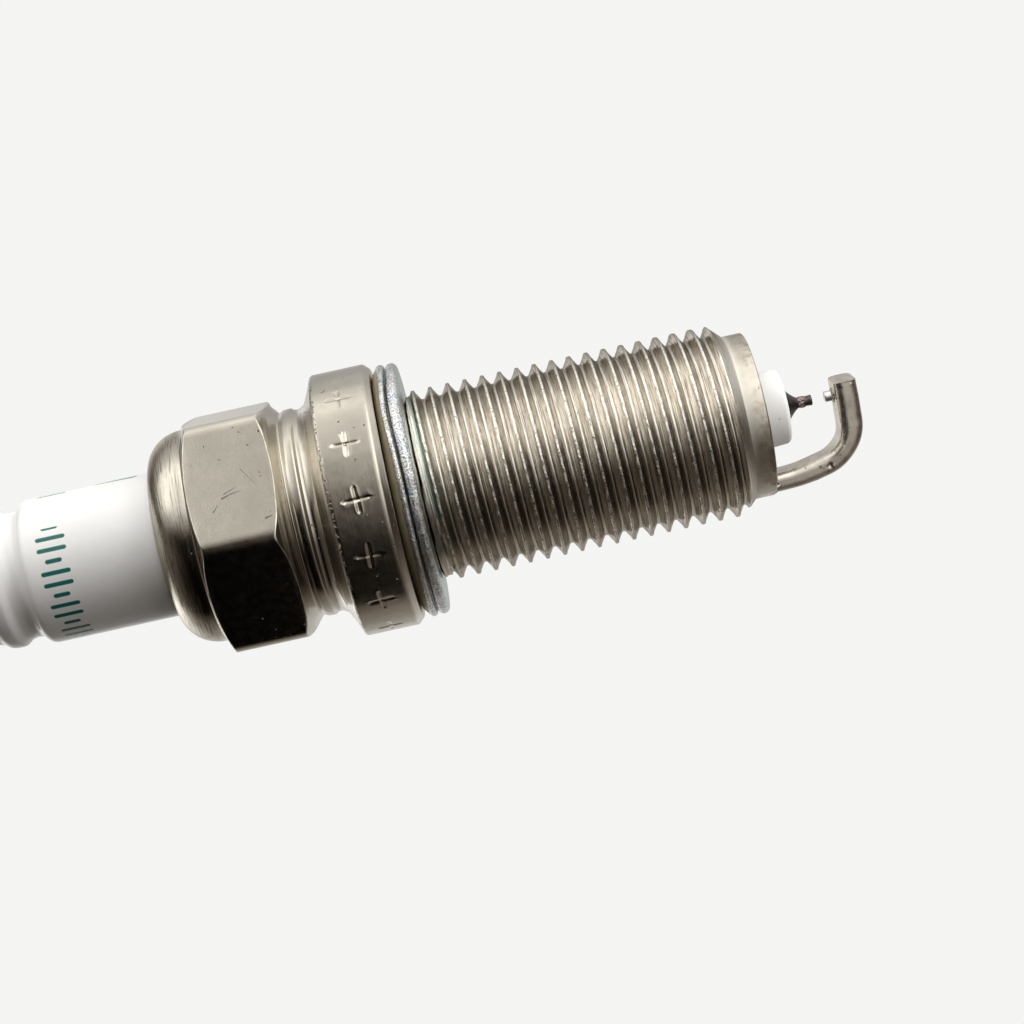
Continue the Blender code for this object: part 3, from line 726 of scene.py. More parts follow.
def glazed_ceramic(name):
    """Alumina: glossy glaze on the head, matt below, with a printed band of plain green dashes."""
    white = (0.86, 0.85, 0.83)
    graph = Graph(name, white, 0.07, 0.0)
    cloud = graph.noise(0.30, 2.0)
    speck = graph.segments((((2.64, -98.0, -25.3), (2.64, -99.0, -25.25), 0.10),))
    long_dash = graph.segments((((INSULATOR_R, -2.5, 19.8), (INSULATOR_R, -2.5, 22.4), 0.46),))
    tone = graph.tint(graph.cloudy(cloud, white, 1.0, 0.97), (speck, 0.6, (0.35, 0.33, 0.32)))
    tone = graph.mix(graph.math("MAXIMUM", printed_dashes(graph), long_dash), tone, (0.012, 0.135, 0.120))
    rough = graph.times_add(graph.between(graph.z, -6.0, 0.0), -0.44, 0.50)
    rough = graph.times_add(cloud, 0.06, rough)
    ripple, grain = graph.noise(0.8, 1.0), graph.noise(14.0, 2.0)
    return graph.finish(tone, rough, graph.bumps((ripple, 0.02), (grain, 0.004)))


def plain_filling(name, colour, roughness, grain_scale):
    """Powder, glass or composition inside the plug: a speckled solid."""
    graph = Graph(name, colour, roughness, 0.0)
    grain = graph.noise(grain_scale, 4.0, 0.6)
    tone = graph.cloudy(grain, colour, 0.8, 1.15)
    return graph.finish(tone, graph.times_add(grain, 0.15, roughness - 0.07), graph.bumps((grain, 0.01)))


# ---------------------------------------------------------------- shell


def head_outline():
    """Crimp, hexagon blank, groove and collar, from the crimp's lip down to the seat face."""
    across, up = CRIMP_SHOULDER_R - CRIMP_LIP_R, CRIMP_LIP_Z - CRIMP_SHOULDER_Z
    dome = []
    for k in range(18):
        a = pi / 2 * k / 18
        dome.append((CRIMP_LIP_R + across * sin(a), CRIMP_SHOULDER_Z + up * cos(a)))
    below = outline(
        [
            (CRIMP_SHOULDER_R, CRIMP_SHOULDER_Z), (7.66, 15.64, 0.03), (7.74, 15.56, 0.03),
            (8.06, 15.46, 0.12), (8.55, 15.26, 0.60), (HEX_CORNER_R, 14.98, 0.25),
            (HEX_CORNER_R, 9.95, 0.30), (8.55, 9.62, 0.60), (8.00, 9.44, 0.50), (7.36, 8.90, 0.10),
            (7.28, 8.80, 0.10), (7.44, 8.45, 0.30), (7.46, 7.95, 0.20), (7.30, 7.72, 0.08),
            (7.27, 7.40, 0.30), (7.55, 6.92, 0.50), (8.35, 6.52, 0.60), (9.30, 6.12, 0.10),
            (COLLAR_R, 5.98, 0.08), (COLLAR_R, 2.34, 0.24), (8.98, 1.90, 0.10), (6.45, 1.90, 0.12),
            (THREAD_ROOT_R, 1.62, 0.20), (THREAD_ROOT_R, CUT_Z + 0.1),
        ],
        step=0.21,
    )
    fine = [below[0]]
    for (r0, z0), (r1, z1) in zip(below, below[1:]):
        # The hexagon's chamfers need closer rows
        pieces = 3 if 14.7 < z1 < 15.7 or 9.2 < z1 < 10.3 else 1
        for k in range(1, pieces + 1):
            fine.append((r0 + (r1 - r0) * k / pieces, z0 + (z1 - z0) * k / pieces))
    return dome + fine


def hexagon_radius(theta):
    """Distance from the axis to the hexagon, whose flats face +X and every 60 degrees from there."""
    from_flat = np.abs((theta + pi / 6) % (pi / 3) - pi / 6)
    next_flat = APOTHEM / np.cos(pi / 3 - from_flat)
    return smooth_min(APOTHEM / np.cos(from_flat), next_flat, HEX_CORNER_WIDTH)


def collar_marks():
    """A ring of plus marks, each stamped a little deeper or lighter; one place in the ring is blank."""
    rng = np.random.default_rng(5)
    marks = []
    for k in range(COLLAR_MARKS):
        azimuth = radians(COLLAR_MARK_AZIMUTH) + TAU * k / COLLAR_MARKS
        depth = {0: 1.1, 1: 1.0, 2: 0.55, 3: 0.0, 14: 0.75, 13: 0.8}.get(k, rng.uniform(0.6, 1.1))
        lean = rng.uniform(-0.05, 0.05)
        for tilt in (0.0, pi / 2):
            marks.append((azimuth, COLLAR_MARK_Z, tilt + lean, 0.79, 0.135, 0.062 * depth))
        if k in (1, 2):
            # Struck twice
            marks.append((azimuth + 0.014, COLLAR_MARK_Z + 0.05, 0.20, 0.66, 0.08, 0.035))
    return marks


def with_mark_rows(points):
    """The head's outline with rows crowded at the heights where the marks have their edges."""
    gaps = (0.05, 0.10, 0.15, 0.21, 0.85, 0.92)
    heights = {COLLAR_MARK_Z} | {COLLAR_MARK_Z + side * gap for gap in gaps for side in (1, -1)}
    on_collar = [i for i, (r, _) in enumerate(points) if abs(r - COLLAR_R) < 1e-6]
    heights |= {points[i][1] for i in on_collar}
    collar = [(COLLAR_R, z) for z in sorted(heights, reverse=True)]
    return points[: on_collar[0]] + collar + points[on_collar[-1] + 1 :]


def shell_rows():
    mark_gaps = [0.05, 0.10, 0.15, 0.21, 0.45, 0.76, 0.84, 0.92, 1.00, 1.08, 1.30]
    corner_gaps = [0.04 * 1.178**k for k in range(29)]
    mark_columns = closed_columns(spread(mark_gaps, COLLAR_R, COLLAR_MARKS, COLLAR_MARK_AZIMUTH))
    hexagon_columns = closed_columns(spread(corner_gaps, HEX_CORNER_R, 6, 30))
    plain_columns = closed_columns(columns(HEAD_COLUMNS)[:-1])
    marks = collar_marks()
    rows = []
    for r, z in with_mark_rows(head_outline()):
        hexness = np.clip((z - 7.4) / 1.4, 0, 1) * np.clip((17.2 - z) / 1.2, 0, 1)
        markness = np.clip((7.4 - z) / 0.8, 0, 1) * np.clip((z - 1.95) / 0.2, 0, 1)
        theta = plain_columns + (hexagon_columns - plain_columns) * hexness
        theta = theta + (mark_columns - plain_columns) * markness
        radius = np.full_like(theta, r)
        if 8.6 < z < 16.2:
            radius = smooth_min(radius, hexagon_radius(theta), 0.05)
        if abs(r - COLLAR_R) < 0.01:
            radius = radius - pressed(theta, r, z, marks)
        rows.append(ring(theta, radius, z))
    return rows


def barrel_limit(z):
    """The thread fades in under the gasket and out above the plain nose."""
    return np.minimum(THREAD_ROOT_R + (THREAD_TOP_Z - z) * 2.5, NOSE_R + (z - THREAD_BOTTOM_Z) * 1.0)


def barrel_floor(z):
    """The groove beside the gasket is shallower."""
    return np.clip(8.16 + 2.4 * z, THREAD_ROOT_R, 6.48)


def roughen_crest(rows, theta):
    """The rolled crest is a little uneven, differently on each row."""
    uneven = 0.004 * np.sin(37 * theta) + 0.004 * np.sin(61 * theta + 1) + 0.003 * np.sin(83 * theta + 2)
    for number, row in enumerate(rows):
        radius = np.hypot(row[:, 0], row[:, 1])
        turn = np.roll(uneven[:-1], number * 7)
        turn = np.append(turn, turn[0])
        lift = 1 + turn * np.clip((radius - 6.70) / 0.12, 0, 1) / radius
        row[:, :2] *= lift[:, None]


def make_shell(mat):
    """Two pieces that meet at CUT_Z, where the gasket hides the joint."""
    bore = [
        (THREAD_ROOT_R, CUT_Z),
        *outline(
            [(BORE_R, CUT_Z), (BORE_R, 5.60), (6.05, 7.00), (6.05, 17.42), (5.37, 18.05), (5.37, 18.40)],
            step=2.0,
        ),
    ]
    # Half as many columns inside
    inner_columns = columns(HEAD_COLUMNS // 2) + radians(SEAM_AZIMUTH)
    rows = shell_rows() + [ring(inner_columns, r, z) for r, z in bore]
    piece("shell_head", rows, "plug", "metal_shell", mat, sharp=35)

    theta = columns(BARREL_COLUMNS)
    form = thread_form(THREAD_PITCH, THREAD_CREST_R, THREAD_ROOT_R)
    heights = (THREAD_CREST_Z, THREAD_BOTTOM_Z, THREAD_TOP_Z)
    thread = thread_rows(form, THREAD_PITCH, heights, barrel_limit, BARREL_COLUMNS, barrel_floor)
    roughen_crest(thread, theta)
    nose = outline(
        [
            (NOSE_R, THREAD_BOTTOM_Z), (NOSE_R, RIM_Z, 0.15), (NOSE_BORE_R, RIM_Z, 0.12),
            (NOSE_BORE_R, -14.6), (3.80, -14.2), (3.80, -13.4), (BORE_R, -12.9), (BORE_R, CUT_Z),
        ],
        step=2.0,
    )
    rows = [ring(theta, THREAD_ROOT_R, CUT_Z), ring(theta, THREAD_ROOT_R, THREAD_TOP_Z)] + thread
    rows += turned_rows(nose, BARREL_COLUMNS)
    piece("shell_barrel", rows, "plug", "metal_shell", mat, sharp=35)


# ---------------------------------------------------------------- gasket, insulator and terminal


def half_turn(r, z, radius, count):
    """Points round a fold that opens sideways, from the bottom up; a negative radius opens outwards."""
    turns = np.linspace(0, pi, count)
    return [(r + radius * sin(a), z - abs(radius) * cos(a)) for a in turns]


def sheet_end(middle, along, side, turns):
    """Points round a sheet's rounded edge."""
    return [middle + SHEET_HALF * (along * sin(a) + side * cos(a)) for a in turns]


def make_gasket(mat):
    """One sheet folded into three rings; the upper one is dished and the rims are a little wavy."""
    inner_radius = (UPPER_SHEET_Z - MIDDLE_SHEET_Z) / 2
    middle = [(6.64, 0.24), (6.95, LOWER_SHEET_Z), (7.6, LOWER_SHEET_Z)]
    middle += half_turn(8.63, (LOWER_SHEET_Z + MIDDLE_SHEET_Z) / 2, FOLD_R, 13)
    middle += [(8.0, MIDDLE_SHEET_Z)]
    middle += half_turn(7.20, MIDDLE_SHEET_Z + inner_radius, -inner_radius, 17)
    middle += [(7.65, UPPER_SHEET_Z), (8.05, 1.68), (8.34, 1.61), (8.62, 1.36), (8.88, 1.10)]
    middle = np.array(middle)
    along = np.gradient(middle, axis=0)
    along /= np.linalg.norm(along, axis=1)[:, None]
    side = np.stack([-along[:, 1], along[:, 0]], axis=1)
    left, right = middle + side * SHEET_HALF, middle - side * SHEET_HALF
    last = sheet_end(middle[-1], along[-1], side[-1], np.linspace(0.16, 2.98, 8))
    first = sheet_end(middle[0], -along[0], -side[0], np.linspace(0.4, 2.74, 6))
    points = list(left) + last + list(right[::-1]) + first
    theta = columns(GASKET_COLUMNS)
    # Both rims are bent up at one place, and the upper one is warped oval
    bent = 0.21 * np.exp(-((wrapped(theta - radians(GASKET_BEND_AZIMUTH)) / 0.36) ** 2))
    oval = 0.12 * np.sin(theta - radians(GASKET_OVAL_AZIMUTH)) ** 2
    wave = 0.030 * np.sin(3 * theta + 1.0) + 0.018 * np.sin(7 * theta + 2.0) + 0.010 * np.sin(17 * theta)
    rows = []
    for r, z in points:
        rim = np.clip((r - 8.2) / 0.8, 0, 1)
        upper = np.clip((z - 0.9) / 0.3, 0, 1)
        ragged = 0.012 * np.sin(23 * theta + 0.6) + 0.010 * np.sin(41 * theta + z)
        rows.append(ring(theta, r + rim * ragged, z + rim * (bent + upper * (wave + oval - 0.03))))
    piece("gasket_folded", rows, "gasket", "crush_gasket", mat)


def off_centre(rows):
    """The ceramic's nose sits slightly to one side of the shell's axis, and carries the electrode with it."""
    for row in rows:
        share = np.clip((-12.0 - row[:, 2:]) / 12.0, 0, 1)
        row[:, :2] += np.array([cos(NOSE_LEAN), sin(NOSE_LEAN)]) * NOSE_OFFSET * share
    return rows


def rib_corners():
    corners = []
    for number in reversed(range(4)):
        middle = FIRST_RIB_Z + RIB_PITCH * number
        corners += [
            (RIB_R, middle + 1.02, 0.55),
            (4.60, middle + 0.55, 0.60),
            (RIB_WAIST_R, middle, 0.80),
            (4.60, middle - 0.55, 0.60),
            (INSULATOR_R if number == 0 else RIB_R, middle - 1.05, 0.70),
        ]
    return corners


def make_insulator(mat):
    """Ribbed neck, cylinder with the print, wide middle inside the shell, long nose and stepped bore."""
    points = outline(
        [
            (STUD_BORE_R, INSULATOR_TOP_Z, 0.12), (3.95, INSULATOR_TOP_Z, 0.45), (RIB_R, 39.85, 0.50),
            *rib_corners(),
            (INSULATOR_R, 13.40), (WIDE_R, 12.60), (WIDE_R, 7.35), (CORE_R, 5.95), (CORE_R, -12.50),
            (3.45, -13.56, 0.5), (NOSE_TIP_R, -26.15, 0.38), (ELECTRODE_BORE_R, -26.13, 0.06),
            (ELECTRODE_BORE_R, -9.20), (STUD_BORE_R, -8.60), (STUD_BORE_R, 41.0),
        ],
        step=0.6,
        closed=True,
    )
    rows = off_centre(turned_rows(points, INSULATOR_COLUMNS))
    piece("insulator_body", rows, "plug", "insulator", mat)


def stud_limit(z):
    """The stud's thread fades out at both ends."""
    return np.minimum(STUD_ROOT_R + z - NUT_LOW_Z, STUD_ROOT_R - 0.07 + STUD_TOP_Z - 0.04 - z)


def make_terminal(mat):
    """Threaded stud with a flange on the insulator, and the nut with a waist for the cap's clip."""
    key = []
    for number in range(4):
        z = 11.6 - number * 0.8
        key += [(1.75, z, 0.08), (1.53, z - 0.2, 0.08), (1.53, z - 0.4, 0.08), (1.75, z - 0.6, 0.08)]
    top = [(0.0, STUD_TOP_Z), (1.0, STUD_TOP_Z), (1.42, STUD_TOP_Z - 0.01)]
    form = thread_form(STUD_PITCH, STUD_CREST_R, STUD_ROOT_R)
    heights = (FLANGE_TOP_Z, NUT_LOW_Z, STUD_TOP_Z - 0.04)
    below = outline(
        [
            (STUD_ROOT_R, FLANGE_TOP_Z), (3.10, FLANGE_TOP_Z, 0.12), (3.10, 41.82, 0.12),
            (1.93, 41.82, 0.05), (1.93, 12.5), (1.75, 12.1),
            *key,
            (1.45, 8.6),
            (0.0, 8.6),
        ],
        step=2.0,
    )
    rows = turned_rows(top, TERMINAL_COLUMNS)
    rows += thread_rows(form, STUD_PITCH, heights, stud_limit, TERMINAL_COLUMNS)
    rows += turned_rows(below, TERMINAL_COLUMNS)
    piece("stud_turned", rows, "plug", "terminal_stud", mat, closed=False, sharp=40)

    low = NUT_LOW_Z
    points = outline(
        [
            (0.0, 50.50), (2.45, 50.50, 0.35), (3.02, 50.12, 0.40), (3.18, 49.60, 0.60),
            (3.18, low + 4.15, 0.45), (2.74, low + 3.52, 0.30), (2.70, low + 2.90, 0.30),
            (2.74, low + 2.28, 0.30), (3.40, low + 1.70, 0.12), (3.40, low + 0.14, 0.12), (3.24, low, 0.10),
            (2.31, low, 0.08), (2.06, low + 0.25, 0.08), (2.06, 49.60), (0.0, 49.90),
        ],
        step=0.5,
    )
    piece("nut_turned", turned_rows(points, 128), "nut", "terminal_nut", mat, closed=False)


# ---------------------------------------------------------------- firing end


def bead_swell(theta, r, z):
    """The bead round the tip wire swells a little, with a few drops on it; its inner face doesn't."""
    swell = 0.006 * np.sin(5 * theta + 9 * z) + 0.004 * np.sin(11 * theta + 2)
    for azimuth, height, size in BEAD_DROPS:
        across = wrapped(theta - radians(azimuth)) * 0.42
        swell = swell + size * np.exp(-((across**2 + (z - height) ** 2) / 0.115**2))
    return r + swell * (r >= BEAD_INNER_R)


def pip_bead_swell(theta, r, z):
    return r + (0.02 * np.sin(6 * theta + 1) + 0.015 * np.sin(13 * theta)) * (r > PIP_R + 0.02)


def make_electrode(mat, weld_mat, tip_mat):
    """Centre electrode with its concave cone, the fused bead and the fine wire."""
    upper = [(0.75, -6.90), (1.95, -6.90, 0.1), (1.95, -8.58, 0.1), (1.27, -9.18, 0.1), (1.27, -25.2, 0.05)]
    points = outline(upper, step=2.0) + [(0.95, -25.50), (1.14, -26.30)]
    for k in range(13):
        share = k / 12
        points.append((0.38 + 0.73 * (1 - share) ** 1.35, -26.34 - 0.80 * share))
    points += [(0.0, -27.15), (0.0, -21.0), (0.75, -20.4)]
    rows = off_centre(turned_rows(points, 72))
    piece("cone_electrode", rows, "plug", "centre_electrode", mat, sharp=45)

    bead = outline(
        [
            (0.372, -27.15), (0.385, -27.14, 0.02), (0.415, -27.26, 0.08), (0.420, -27.50, 0.08),
            (0.385, -27.64, 0.03), (0.372, -27.63),
        ],
        step=0.03,
        closed=True,
    )
    rows = off_centre(turned_rows(bead, 96, bead_swell))
    piece("tip_weld_bead", rows, "plug", "tip_weld", weld_mat, sharp=60)

    wire = [(0.0, -27.16), (0.352, -27.16), (0.352, -27.70), (0.386, TIP_END_Z, 0.03), (0.0, TIP_END_Z)]
    rows = off_centre(turned_rows(outline(wire, step=0.1), 64))
    piece("tip_wire", rows, "plug", "iridium_tip", tip_mat, closed=False, sharp=45)


def strap_path():
    """The strap's middle line as (radius, height, turn so far): a slow bend, a tight one, a straight leg."""
    r, z, turned_by = STRAP_CENTRE_R, RIM_Z - 0.02, 0.0
    path = [(r, z, turned_by)]
    for radius, bend, steps in ((15.0, 16.0, 48), (3.02, 74.0, 52)):
        for _ in range(steps):
            after = turned_by + radians(bend) / steps
            r -= radius * (cos(turned_by) - cos(after))
            z -= radius * (sin(after) - sin(turned_by))
            turned_by = after
            path.append((r, z, turned_by))
    pieces = 36
    return path + [(r + (STRAP_END_R - r) * k / pieces, z, turned_by) for k in range(1, pieces + 1)]


def strap_section():
    """The strap's rounded rectangle as (across the strap, outwards) points, closed on itself."""
    points = []
    for corner_u, corner_v, start in ((1, 1, 0), (-1, 1, 90), (-1, -1, 180), (1, -1, 270)):
        for k in range(7):
            a = radians(start + 90 * k / 6)
            u = corner_u * (STRAP_WIDTH / 2 - STRAP_ROUND) + STRAP_ROUND * cos(a)
            v = corner_v * (STRAP_THICK / 2 - STRAP_ROUND) + STRAP_ROUND * sin(a)
            points.append((u, v))
    dense = []
    for (u0, v0), (u1, v1) in zip(points, points[1:] + points[:1]):
        pieces = max(1, round(hypot(u1 - u0, v1 - v0) / 0.08))
        dense += [(u0 + (u1 - u0) * k / pieces, v0 + (v1 - v0) * k / pieces) for k in range(pieces)]
    return np.array(dense + dense[:1])


def strap_frame(r, z, turned_by):
    """Origin and axes (across, outwards, along) of the strap's section at a point of its path."""
    turn = radians(STRAP_TURN)
    radial = np.array([cos(turn), sin(turn), 0.0])
    across = np.array([-sin(turn), cos(turn), 0.0])
    up = np.array([0.0, 0.0, 1.0])
    outwards = radial * cos(turned_by) - up * sin(turned_by)
    along = -radial * sin(turned_by) - up * cos(turned_by)
    return radial * r + up * z, across, outwards, along


def placed(at, u, v, rise=0.0):
    """Points of a section in its frame: u across the strap, v outwards and rise along it."""
    spot, across, outwards, along = at
    return spot + np.outer(rise + 0 * u, along) + np.outer(u, across) + np.outer(v, outwards)


def strap_rows(path, section):
    """Sections from the root to the sheared end."""
    phases = np.random.default_rng(11).uniform(0, TAU, 2)
    places = [strap_frame(*point) for point in path]
    length = [0.0]
    for (r0, z0, _), (r1, z1, _) in zip(path, path[1:]):
        length.append(length[-1] + hypot(r1 - r0, z1 - z0))
    flat_u, flat_v = section.T
    outer_share, inner_share = flat_v / STRAP_THICK + 0.5, 0.5 - flat_v / STRAP_THICK
    rows = [placed(places[0], 0 * flat_u, 0 * flat_v)]
    for at, distance in zip(places, length):
        share = distance / length[-1]
        # The tight bend squeezes the inner side wider and draws the outer side in
        bend = exp(-(((share - 0.56) / 0.16) ** 2))
        u = flat_u * (1 - 0.030 * bend * flat_v / (STRAP_THICK / 2))
        wobble = 0.010 * np.sin(4.5 * TAU * share + phases[0] + 2 * flat_v)
        wobble += 0.006 * np.sin(23 * share + phases[1] + 3 * u)
        u = u * (1 + 0.5 * wobble)
        # Thicker on the outer side once clear of the rim, and on the leg's inner side
        leg = min(1.0, max(0.0, (share - 0.55) / 0.20))
        v = flat_v * (1 + wobble) + STRAP_SWELL * outer_share * min(1.0, share / 0.3)
        v = v - STRAP_LEG_SWELL * inner_share * leg * leg * (3 - 2 * leg)
        for dent_share, dent_u, dent_v, size, depth in STRAP_DENTS:
            along = (share - dent_share) * length[-1]
            away = np.sqrt(along**2 + (flat_u - dent_u) ** 2 + (flat_v - dent_v) ** 2)
            u = u - np.sign(flat_u) * depth * np.exp(-1.5 * (away / size) ** 2)
        rows.append(placed(at, u, v))
    # Sheared end: a small rounding, then the slightly rough end face, which slants back on the near side
    end_v = flat_v + STRAP_SWELL * outer_share - STRAP_LEG_SWELL * inner_share
    for k in range(1, 5):
        a = pi / 2 * k / 4
        u, v = flat_u * (1 - 0.06 * (1 - cos(a))), end_v * (1 - 0.12 * (1 - cos(a)))
        rows.append(placed(at, u, v, (0.08 - 0.05 * u) * sin(a)))
    for scale in (0.8, 0.55, 0.3, 0.0):
        u, v = flat_u * scale * 0.94, end_v * scale * 0.88
        rows.append(placed(at, u, v, 0.08 + 0.02 * sin(5 * scale) - 0.05 * u))
    return rows


def strap_flash_rows(root, section):
    """The flash round the strap's root, which climbs furthest on one side."""
    around = np.linspace(0, TAU, len(section))
    lumps = 0.04 * np.sin(7 * around + 1) + 0.03 * np.sin(16 * around) + 0.02 * np.sin(29 * around + 2)
    lumps[-1] = lumps[0]
    push = section / np.linalg.norm(section, axis=1)[:, None]
    tongue = 0.30 * np.exp(-(((section[:, 0] - 1.3) / 0.5) ** 2) - ((section[:, 1] - 0.1) / 0.30) ** 2)
    rows = []
    for k in range(7):
        a = pi / 2 * k / 6
        out = (0.11 + lumps) * cos(a) - 0.01
        high = (0.17 + 1.3 * lumps + tongue) * sin(a)
        rows.append(placed(root, *(section + push * out[:, None]).T, high))
    inner = (section - push * 0.02).T
    return rows + [placed(root, *inner, 0.10), placed(root, *inner)]


def make_strap(mat, weld_mat, pip_mat):
    """Ground electrode, its flash at the rim, and the facing pip with its bead."""
    path, section = strap_path(), strap_section()
    rows = strap_rows(path, section)
    piece("strap_bent", rows, "plug", "ground_electrode", mat, closed=False)
    rows = strap_flash_rows(strap_frame(*path[0]), section)
    piece("strap_weld_bead", rows, "plug", "strap_weld", weld_mat, sharp=60)

    base = path[-1][1] + STRAP_THICK / 2 + STRAP_LEG_SWELL - 0.02
    face = outline([(0.0, PIP_FACE_Z), (PIP_R, PIP_FACE_Z, 0.05), (PIP_R, base), (0.0, base)], step=0.2)
    rows = off_centre(turned_rows(face, 64))
    piece("pip_face", rows, "plug", "ground_pip", pip_mat, closed=False)
    steps = ((0.155, 0), (0.14, 0.05), (0.09, 0.10), (0.03, 0.15), (-0.01, 0.17), (-0.01, 0))
    bead = [(PIP_R + out, base + high) for out, high in steps]
    rows = off_centre(turned_rows(bead, 64, pip_bead_swell))
    piece("pip_weld_bead", rows, "plug", "pip_weld", weld_mat, sharp=60)


# ---------------------------------------------------------------- camera and studio


def make_camera():
    """Square to the axis at CAMERA_AZIMUTH, with the tip's side of the plug to the picture's right."""
    turn = Matrix.Rotation(radians(CAMERA_AZIMUTH + 90), 4, "Z")
    roll = radians(CAMERA_ROLL)
    place = Vector((CAMERA_SIDE, -CAMERA_DISTANCE, CAMERA_HEIGHT)) * MM
    right = Vector((-sin(roll), 0, -cos(roll)))
    up = Vector((cos(roll), 0, -sin(roll)))
    back = Vector((0, -1, 0))
    matrix = Matrix([(*right, 0), (*up, 0), (*back, 0), (*place, 1)]).transposed()
    data = bpy.data.cameras.new("camera")
    data.lens = CAMERA_LENS
    data.clip_start = 0.01
    made = new_object("camera", data)
    made.matrix_world = turn @ matrix
    bpy.context.scene.camera = made


def make_backdrop():
    """A pale, evenly lit sheet behind the plug, as the floor under a plug seen from above."""
    mat = bpy.data.materials.new("backdrop_paper")
    mat.use_nodes = True
    inputs = mat.node_tree.nodes["Principled BSDF"].inputs
    inputs["Base Color"].default_value = (0.02, 0.02, 0.02, 1)
    inputs["Roughness"].default_value = 1.0
    inputs["Specular IOR Level"].default_value = 0.0
    inputs["Emission Color"].default_value = (0.900, 0.902, 0.885, 1)
    inputs["Emission Strength"].default_value = 1.0
    mesh = bpy.data.meshes.new("backdrop")
    bm = bmesh.new()
    bmesh.ops.create_grid(bm, x_segments=8, y_segments=8, size=BACKDROP_HALF * MM)
    bm.to_mesh(mesh)
    bm.free()
    mesh.materials.append(mat)
    backdrop = new_object("backdrop", mesh)
    turn = Matrix.Rotation(radians(CAMERA_AZIMUTH + 90), 4, "Z")
    away = Matrix.Translation((0, BACKDROP_DISTANCE * MM, 0))
    backdrop.matrix_world = turn @ away @ Matrix.Rotation(pi / 2, 4, "X")
    backdrop.visible_glossy = False
    backdrop.visible_diffuse = False
    backdrop.visible_shadow = False


# Light from all round at seven heights, from the tip's side to the terminal's. The first number is the sine
# of the height. Each pair is an angle from the camera to the picture's top, in degrees, and a brightness.
LIGHT_LAYERS = (
    (-0.97, ((-180, 0.12), (-60, 0.05), (20, 0.08), (60, 0.40), (100, 0.70), (180, 0.20))),
    (-0.70, ((-180, 0.55), (-150, 0.50), (-120, 0.30), (-95, 0.15), (-60, 0.10), (-20, 0.14), (10, 0.70),
        (40, 2.00), (80, 2.20), (110, 1.30), (145, 0.65), (180, 0.55))),
    (-0.13, ((-180, 0.60), (-158, 0.82), (-130, 0.44), (-104, 0.24), (-70, 0.15), (-40, 0.20),
        (-12, 0.90), (8, 1.80), (30, 2.45), (52, 2.30), (72, 1.85), (90, 1.42), (112, 0.82), (135, 0.58),
        (158, 0.46), (180, 0.52))),
    (0.06, ((-180, 0.58), (-162, 0.68), (-140, 0.46), (-112, 0.27), (-92, 0.00), (-30, 0.00), (0, 0.06),
        (26, 0.24), (50, 0.58), (72, 0.88), (92, 1.50), (104, 1.20), (118, 0.76), (150, 0.50),
        (180, 0.56))),
    (0.32, ((-180, 0.90), (-158, 0.90), (-130, 0.34), (-104, 0.08), (-90, 0.00), (0, 0.00), (16, 0.55),
        (36, 1.45), (80, 1.90), (104, 0.80), (132, 0.45), (160, 1.05), (180, 0.75))),
    (0.72, ((-180, 2.95), (-162, 3.00), (-148, 1.90), (-125, 0.50), (-100, 0.08), (-60, 0.02), (10, 0.03),
        (30, 0.80), (55, 2.20), (90, 1.80), (112, 0.60), (135, 0.18), (160, 0.12), (180, 0.30))),
    (0.97, ((-180, 0.14), (180, 0.14))),
)


def make_world():
    """Soft light all round, bright above the plug and dim below, and even where the camera sees it."""
    world = bpy.data.worlds.new("studio")
    bpy.context.scene.world = world
    world.use_nodes = True
    graph = Nodes(world.node_tree)

    def light_round(share, stops):
        colours = [((angle + 180) / 360, [level / BRIGHTEST] * 3) for angle, level in stops]
        return graph.times(graph.ramp(share, colours, "EASE"), BRIGHTEST)

    def blend(share, a, b):
        return graph.times_add(share, b, graph.times(graph.less(1.0, share), a))

    split = graph.node("SeparateXYZ")
    graph.put(split.inputs[0], graph.node("TexCoord").outputs["Generated"])
    x, y, z = split.outputs
    turned = graph.add(graph.math("ARCTAN2", y, x), radians(180 - CAMERA_AZIMUTH))
    share = graph.math("FRACT", graph.math("DIVIDE", turned, TAU))
    level = light_round(share, LIGHT_LAYERS[0][1])
    for (low, _), (high, stops) in zip(LIGHT_LAYERS, LIGHT_LAYERS[1:]):
        rise = graph.times_add(z, 1 / (high - low), -low / (high - low), clamp=True)
        level = blend(rise, level, light_round(share, stops))
    # Matt surfaces take most of their light from the soft boxes
    paths = graph.node("LightPath")
    level = graph.times(level, graph.times_add(paths.outputs["Is Diffuse Ray"], -0.55, 1.0))
    level = blend(paths.outputs["Is Camera Ray"], level, SEEN_LIGHT)
    # The dim side is warmer
    warmth = graph.ramp(level, ((0.0, (1.0, 0.82, 0.67)), (0.55, (1.0, 0.995, 0.975))))
    background = graph.tree.nodes["Background"]
    graph.put(background.inputs["Strength"], level)
    graph.put(background.inputs["Color"], warmth)


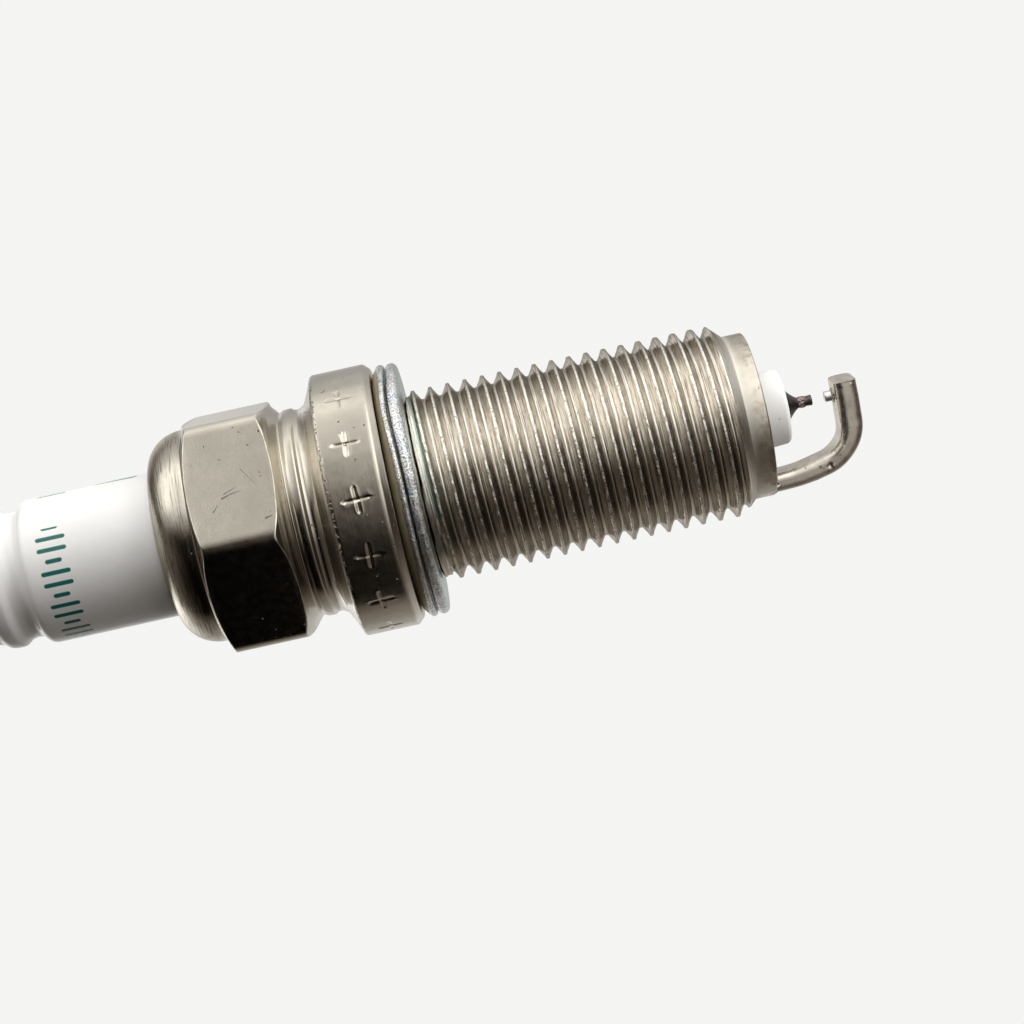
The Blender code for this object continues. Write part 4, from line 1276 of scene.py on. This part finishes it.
def make_soft_light(name, azimuth, distance, height, size, power, aim_z):
    """A square soft box that lights the plug and isn't mirrored in it. azimuth counts from the camera."""
    data = bpy.data.lights.new(name, "AREA")
    data.shape = "SQUARE"
    data.size = size * MM
    data.energy = power
    made = new_object(name, data)
    place = polar(distance, CAMERA_AZIMUTH + azimuth, height) * MM
    made.location = place
    made.rotation_mode = "QUATERNION"
    made.rotation_quaternion = (Vector((0, 0, aim_z * MM)) - place).to_track_quat("-Z", "Y")
    made.visible_glossy = False
    made.visible_camera = False


PACKING_NODES = ["seat_washer", "lower_packing_ring", "upper_packing_ring"]

make_camera()
make_backdrop()
make_world()
make_soft_light("soft_box_above", azimuth=67, distance=170, height=52, size=130, power=0.192, aim_z=22)
make_soft_light("soft_box_tip", azimuth=42, distance=70, height=-105, size=80, power=0.086, aim_z=-26)
make_soft_light("soft_box_tip_below", azimuth=-60, distance=70, height=-105, size=80, power=0.028, aim_z=-26)
bpy.context.scene.view_settings.view_transform = "Standard"
bpy.context.scene.view_settings.look = "None"
make_shell(plated_shell("nickel_plate_look"))
make_gasket(zinc_sheet("zinc_look"))
make_insulator(glazed_ceramic("alumina_look"))
make_terminal(plated_metal("terminal_look", NICKEL, 0.26))
make_electrode(
    bare_alloy("cone_look", (0.085, 0.08, 0.078), 0.36),
    bare_alloy("tip_weld_look", (0.30, 0.22, 0.21), 0.22, 2.0),
    bare_alloy("iridium_look", (0.11, 0.105, 0.10), 0.32, 2.0),
)
make_strap(
    bare_alloy("strap_look", (0.72, 0.66, 0.58), 0.31, 1.0, 0.0015),
    bare_alloy("weld_look", (0.50, 0.45, 0.41), 0.30, 1.6),
    plated_metal("platinum_look", (0.66, 0.655, 0.63), 0.32),
)
for look, node_names in (
    (bare_alloy("copper_look", (0.80, 0.42, 0.25), 0.30), ["electrode_copper_core"]),
    (plain_filling("glass_look", (0.20, 0.16, 0.13), 0.30, 1.5), ["lower_glass_seal", "upper_glass_seal"]),
    (plain_filling("resistor_look", (0.05, 0.05, 0.05), 0.80, 5.0), ["resistor"]),
    (bare_alloy("steel_look", (0.45, 0.45, 0.45), 0.40), PACKING_NODES),
    (plain_filling("talc_look", (0.85, 0.84, 0.80), 0.95, 6.0), ["talc_filling"]),
):
    for node_name in node_names:
        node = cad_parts[node_name]
        node.data.materials.clear()
        node.data.materials.append(look)
